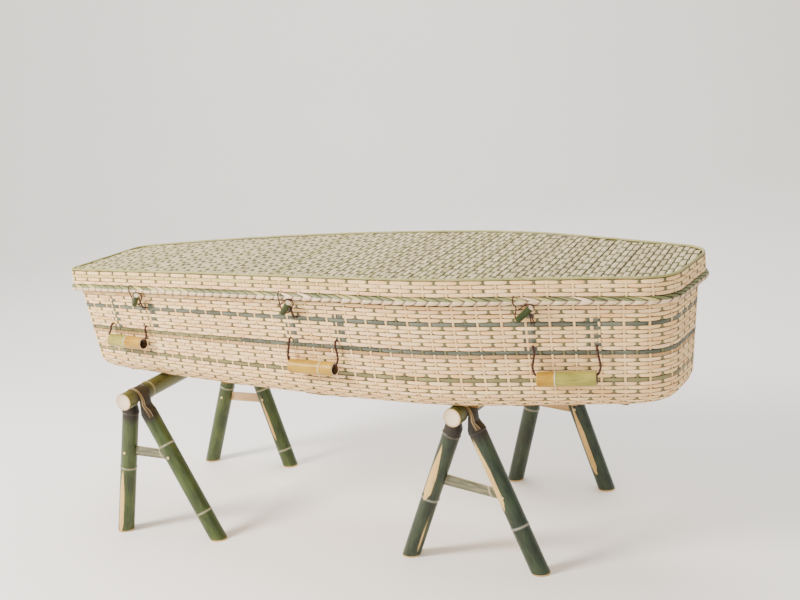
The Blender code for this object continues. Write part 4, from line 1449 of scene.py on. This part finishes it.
def bar(place, nodes, matrix):
    """The thick culm: radius, height, nearness to a node and a tan ring at each end, the rim's wood colour
    and painted shade of the dish, from end to end.
    """
    half, groove, edge = BAR_LENGTH / 2, BAR_RADIUS - STRAP - GAP, LEG_RADIUS + GAP
    marks = (*nodes, half - 0.016)
    points = []
    for h in np.linspace(half - 0.004, 0.004 - half, 46):
        if abs(abs(h) - FRAME_OUT) > 0.034 and all(abs(h - n) > 0.010 for n in marks):
            points.append((BAR_RADIUS, h, 0.0))
    for n in marks:
        for off in (-0.009, -0.004, -0.002, 0.0, 0.002, 0.004, 0.009):
            ridge = NODE_RIDGE * max(0, 1 - abs(off) / 0.004) * (n in nodes)
            points.append((BAR_RADIUS + ridge, n + off, max(0, 1 - abs(off) / 0.011)))
    for at in (-FRAME_OUT, FRAME_OUT):
        points += [(BAR_RADIUS, at + off, 0.0) for off in (edge + 0.0025, -edge - 0.0025)]
        points += [(groove, at + off, 0.0) for off in (edge, -edge)]
    points.sort(key=lambda p: -p[1])
    depths = (BAR_DISH, BAR_DISH * 0.9, BAR_DISH * 0.55, 0.0006, 0.0, 0.0, 0.0012)
    shares = (0.0, 0.3, 0.55, 0.80, 0.88, 0.955, 1.0)
    rim = [(BAR_RADIUS * share, half - depth, 0.0) for depth, share in zip(depths, shares)]
    # A tan ring on each cut end: the wood's colour at the rim, and painted shade on the dish's wall.
    rim_tan_and_dish_shade = [-1.0, -1.0, 0.0, 0.35, 0.9, 0.9, -1.0]
    far_rim = [(radius, -height, 0.0) for radius, height, _ in rim[::-1]]
    profile = np.array([*rim, *points, *far_rim])
    peel = rim_tan_and_dish_shade + [-1.0] * len(points) + rim_tan_and_dish_shade[::-1]
    burn = np.maximum(1 - np.abs(np.abs(profile[:, 1]) - FRAME_OUT) / 0.05, -1) - 0.25
    piece = turned(
        f"{place}_round_bar",
        [bar_skin, cut_end],
        profile[:, :2],
        40,
        matrix @ Matrix.Translation((0, 0, BAR_Z)) @ Matrix.Rotation(math.radians(-90), 4, "X"),
        [1] * 5 + [0] * (len(profile) - 11) + [1] * 5,
        tone=0.5,
        node=profile[:, 2],
        peel=peel,
        burn=burn,
    )
    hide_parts(f"{place}_trestle_bar")


for place, (share, across, degrees, bar_nodes) in TRESTLES.items():
    matrix = Matrix.Translation((share * LENGTH, across, 0)) @ Matrix.Rotation(math.radians(degrees), 4, "Z")
    for side, face in (("front", -1), ("back", 1)):
        bent_legs(place, side, face, matrix)
        crossbar(place, side, face, matrix)
    bar(place, bar_nodes, matrix)

# %% [markdown]
# ## The pegs in the trestles
# The solids of the pegs are right as they are, so they only get the cut wood finish.

# %% Finish on the carried-over solids
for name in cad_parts:
    if "_dowel_" in name:
        solid = bpy.data.objects[name]
        for slot in solid.material_slots:
            slot.material = dowel_wood

# %% [markdown]
# ## The studio
# A pale floor rises behind the object, as in the photograph. The key light comes from the left and
# above, and a bright world keeps the shadows soft.


# %% Floor and light
def floor_material(name, colour):
    made, tree, shader, place = new_finish(name, on_object=True)
    darker = tuple(v * 0.965 for v in colour[:3]) + (1,)
    clouds = noise(tree, place, 1.4, 4.0)
    tree.links.new(blend_colour(tree, clouds, darker, colour), shader.inputs["Base Color"])
    shader.inputs["Roughness"].default_value = 0.75
    return made


FLOOR_HALF_WIDTH, FLOOR_FRONT, FLOOR_BACK, COVE, WALL_TOP, FLOOR_TURN = 18.0, -20.0, 5.5, 2.5, 8.0, 30.6

# Place, aim, size, power and colour
LAMPS = {
    "key_from_left": ((-2.6, -2.8, 3.0), (0, 0, 0.5), 1.5, 400, (1.0, 0.96, 0.90)),
    "fill_from_camera": ((2.6, -4.0, 2.4), (0, 0, 0.6), 3.0, 60, (1.0, 0.96, 0.91)),
    "top": ((0.2, 0.6, 4.2), (0, 0, 0.5), 3.0, 110, (1, 1, 1)),
    "backdrop_wash": ((-1.5, 2.6, 5.5), (-3.5, 6.0, 1.5), 3.0, 260, (1.0, 0.98, 0.95)),
}


def studio_floor():
    """A floor that curves up into a wall behind the object, square to the camera."""
    profile = [(FLOOR_FRONT, 0.0), (FLOOR_BACK, 0.0)]
    for a in np.linspace(0.08, math.pi / 2, 16):
        profile.append((FLOOR_BACK + COVE * math.sin(a), COVE * (1 - math.cos(a))))
    profile.append((FLOOR_BACK + COVE, WALL_TOP))
    points = [(x, y, z) for y, z in profile for x in (-FLOOR_HALF_WIDTH, FLOOR_HALF_WIDTH)]
    faces = [(2 * i, 2 * i + 1, 2 * i + 3, 2 * i + 2) for i in range(len(profile) - 1)]
    mesh = bpy.data.meshes.new("studio_floor")
    mesh.from_pydata(points, [], faces)
    mesh.shade_smooth()
    mesh.materials.append(floor_material("pale_floor", rgb(246, 242, 237)))
    floor = bpy.data.objects.new("studio_floor", mesh)
    floor.rotation_euler = (0, 0, math.radians(FLOOR_TURN))
    bpy.context.scene.collection.objects.link(floor)
    return floor


floor = studio_floor()
for name, (place, aim, size, power, tint) in LAMPS.items():
    data = bpy.data.lights.new(name, "AREA")
    data.shape, data.size, data.energy, data.color = "DISK", size, power, tint
    light = bpy.data.objects.new(name, data)
    light.location = place
    light.rotation_mode = "QUATERNION"
    light.rotation_quaternion = (Vector(aim) - Vector(place)).to_track_quat("-Z", "Y")
    bpy.context.scene.collection.objects.link(light)
world = bpy.data.worlds.new("soft_studio")
bpy.context.scene.world = world
world.use_nodes = True
background = world.node_tree.nodes["Background"].inputs
background["Color"].default_value, background["Strength"].default_value = (0.95, 0.935, 0.92, 1), 0.90
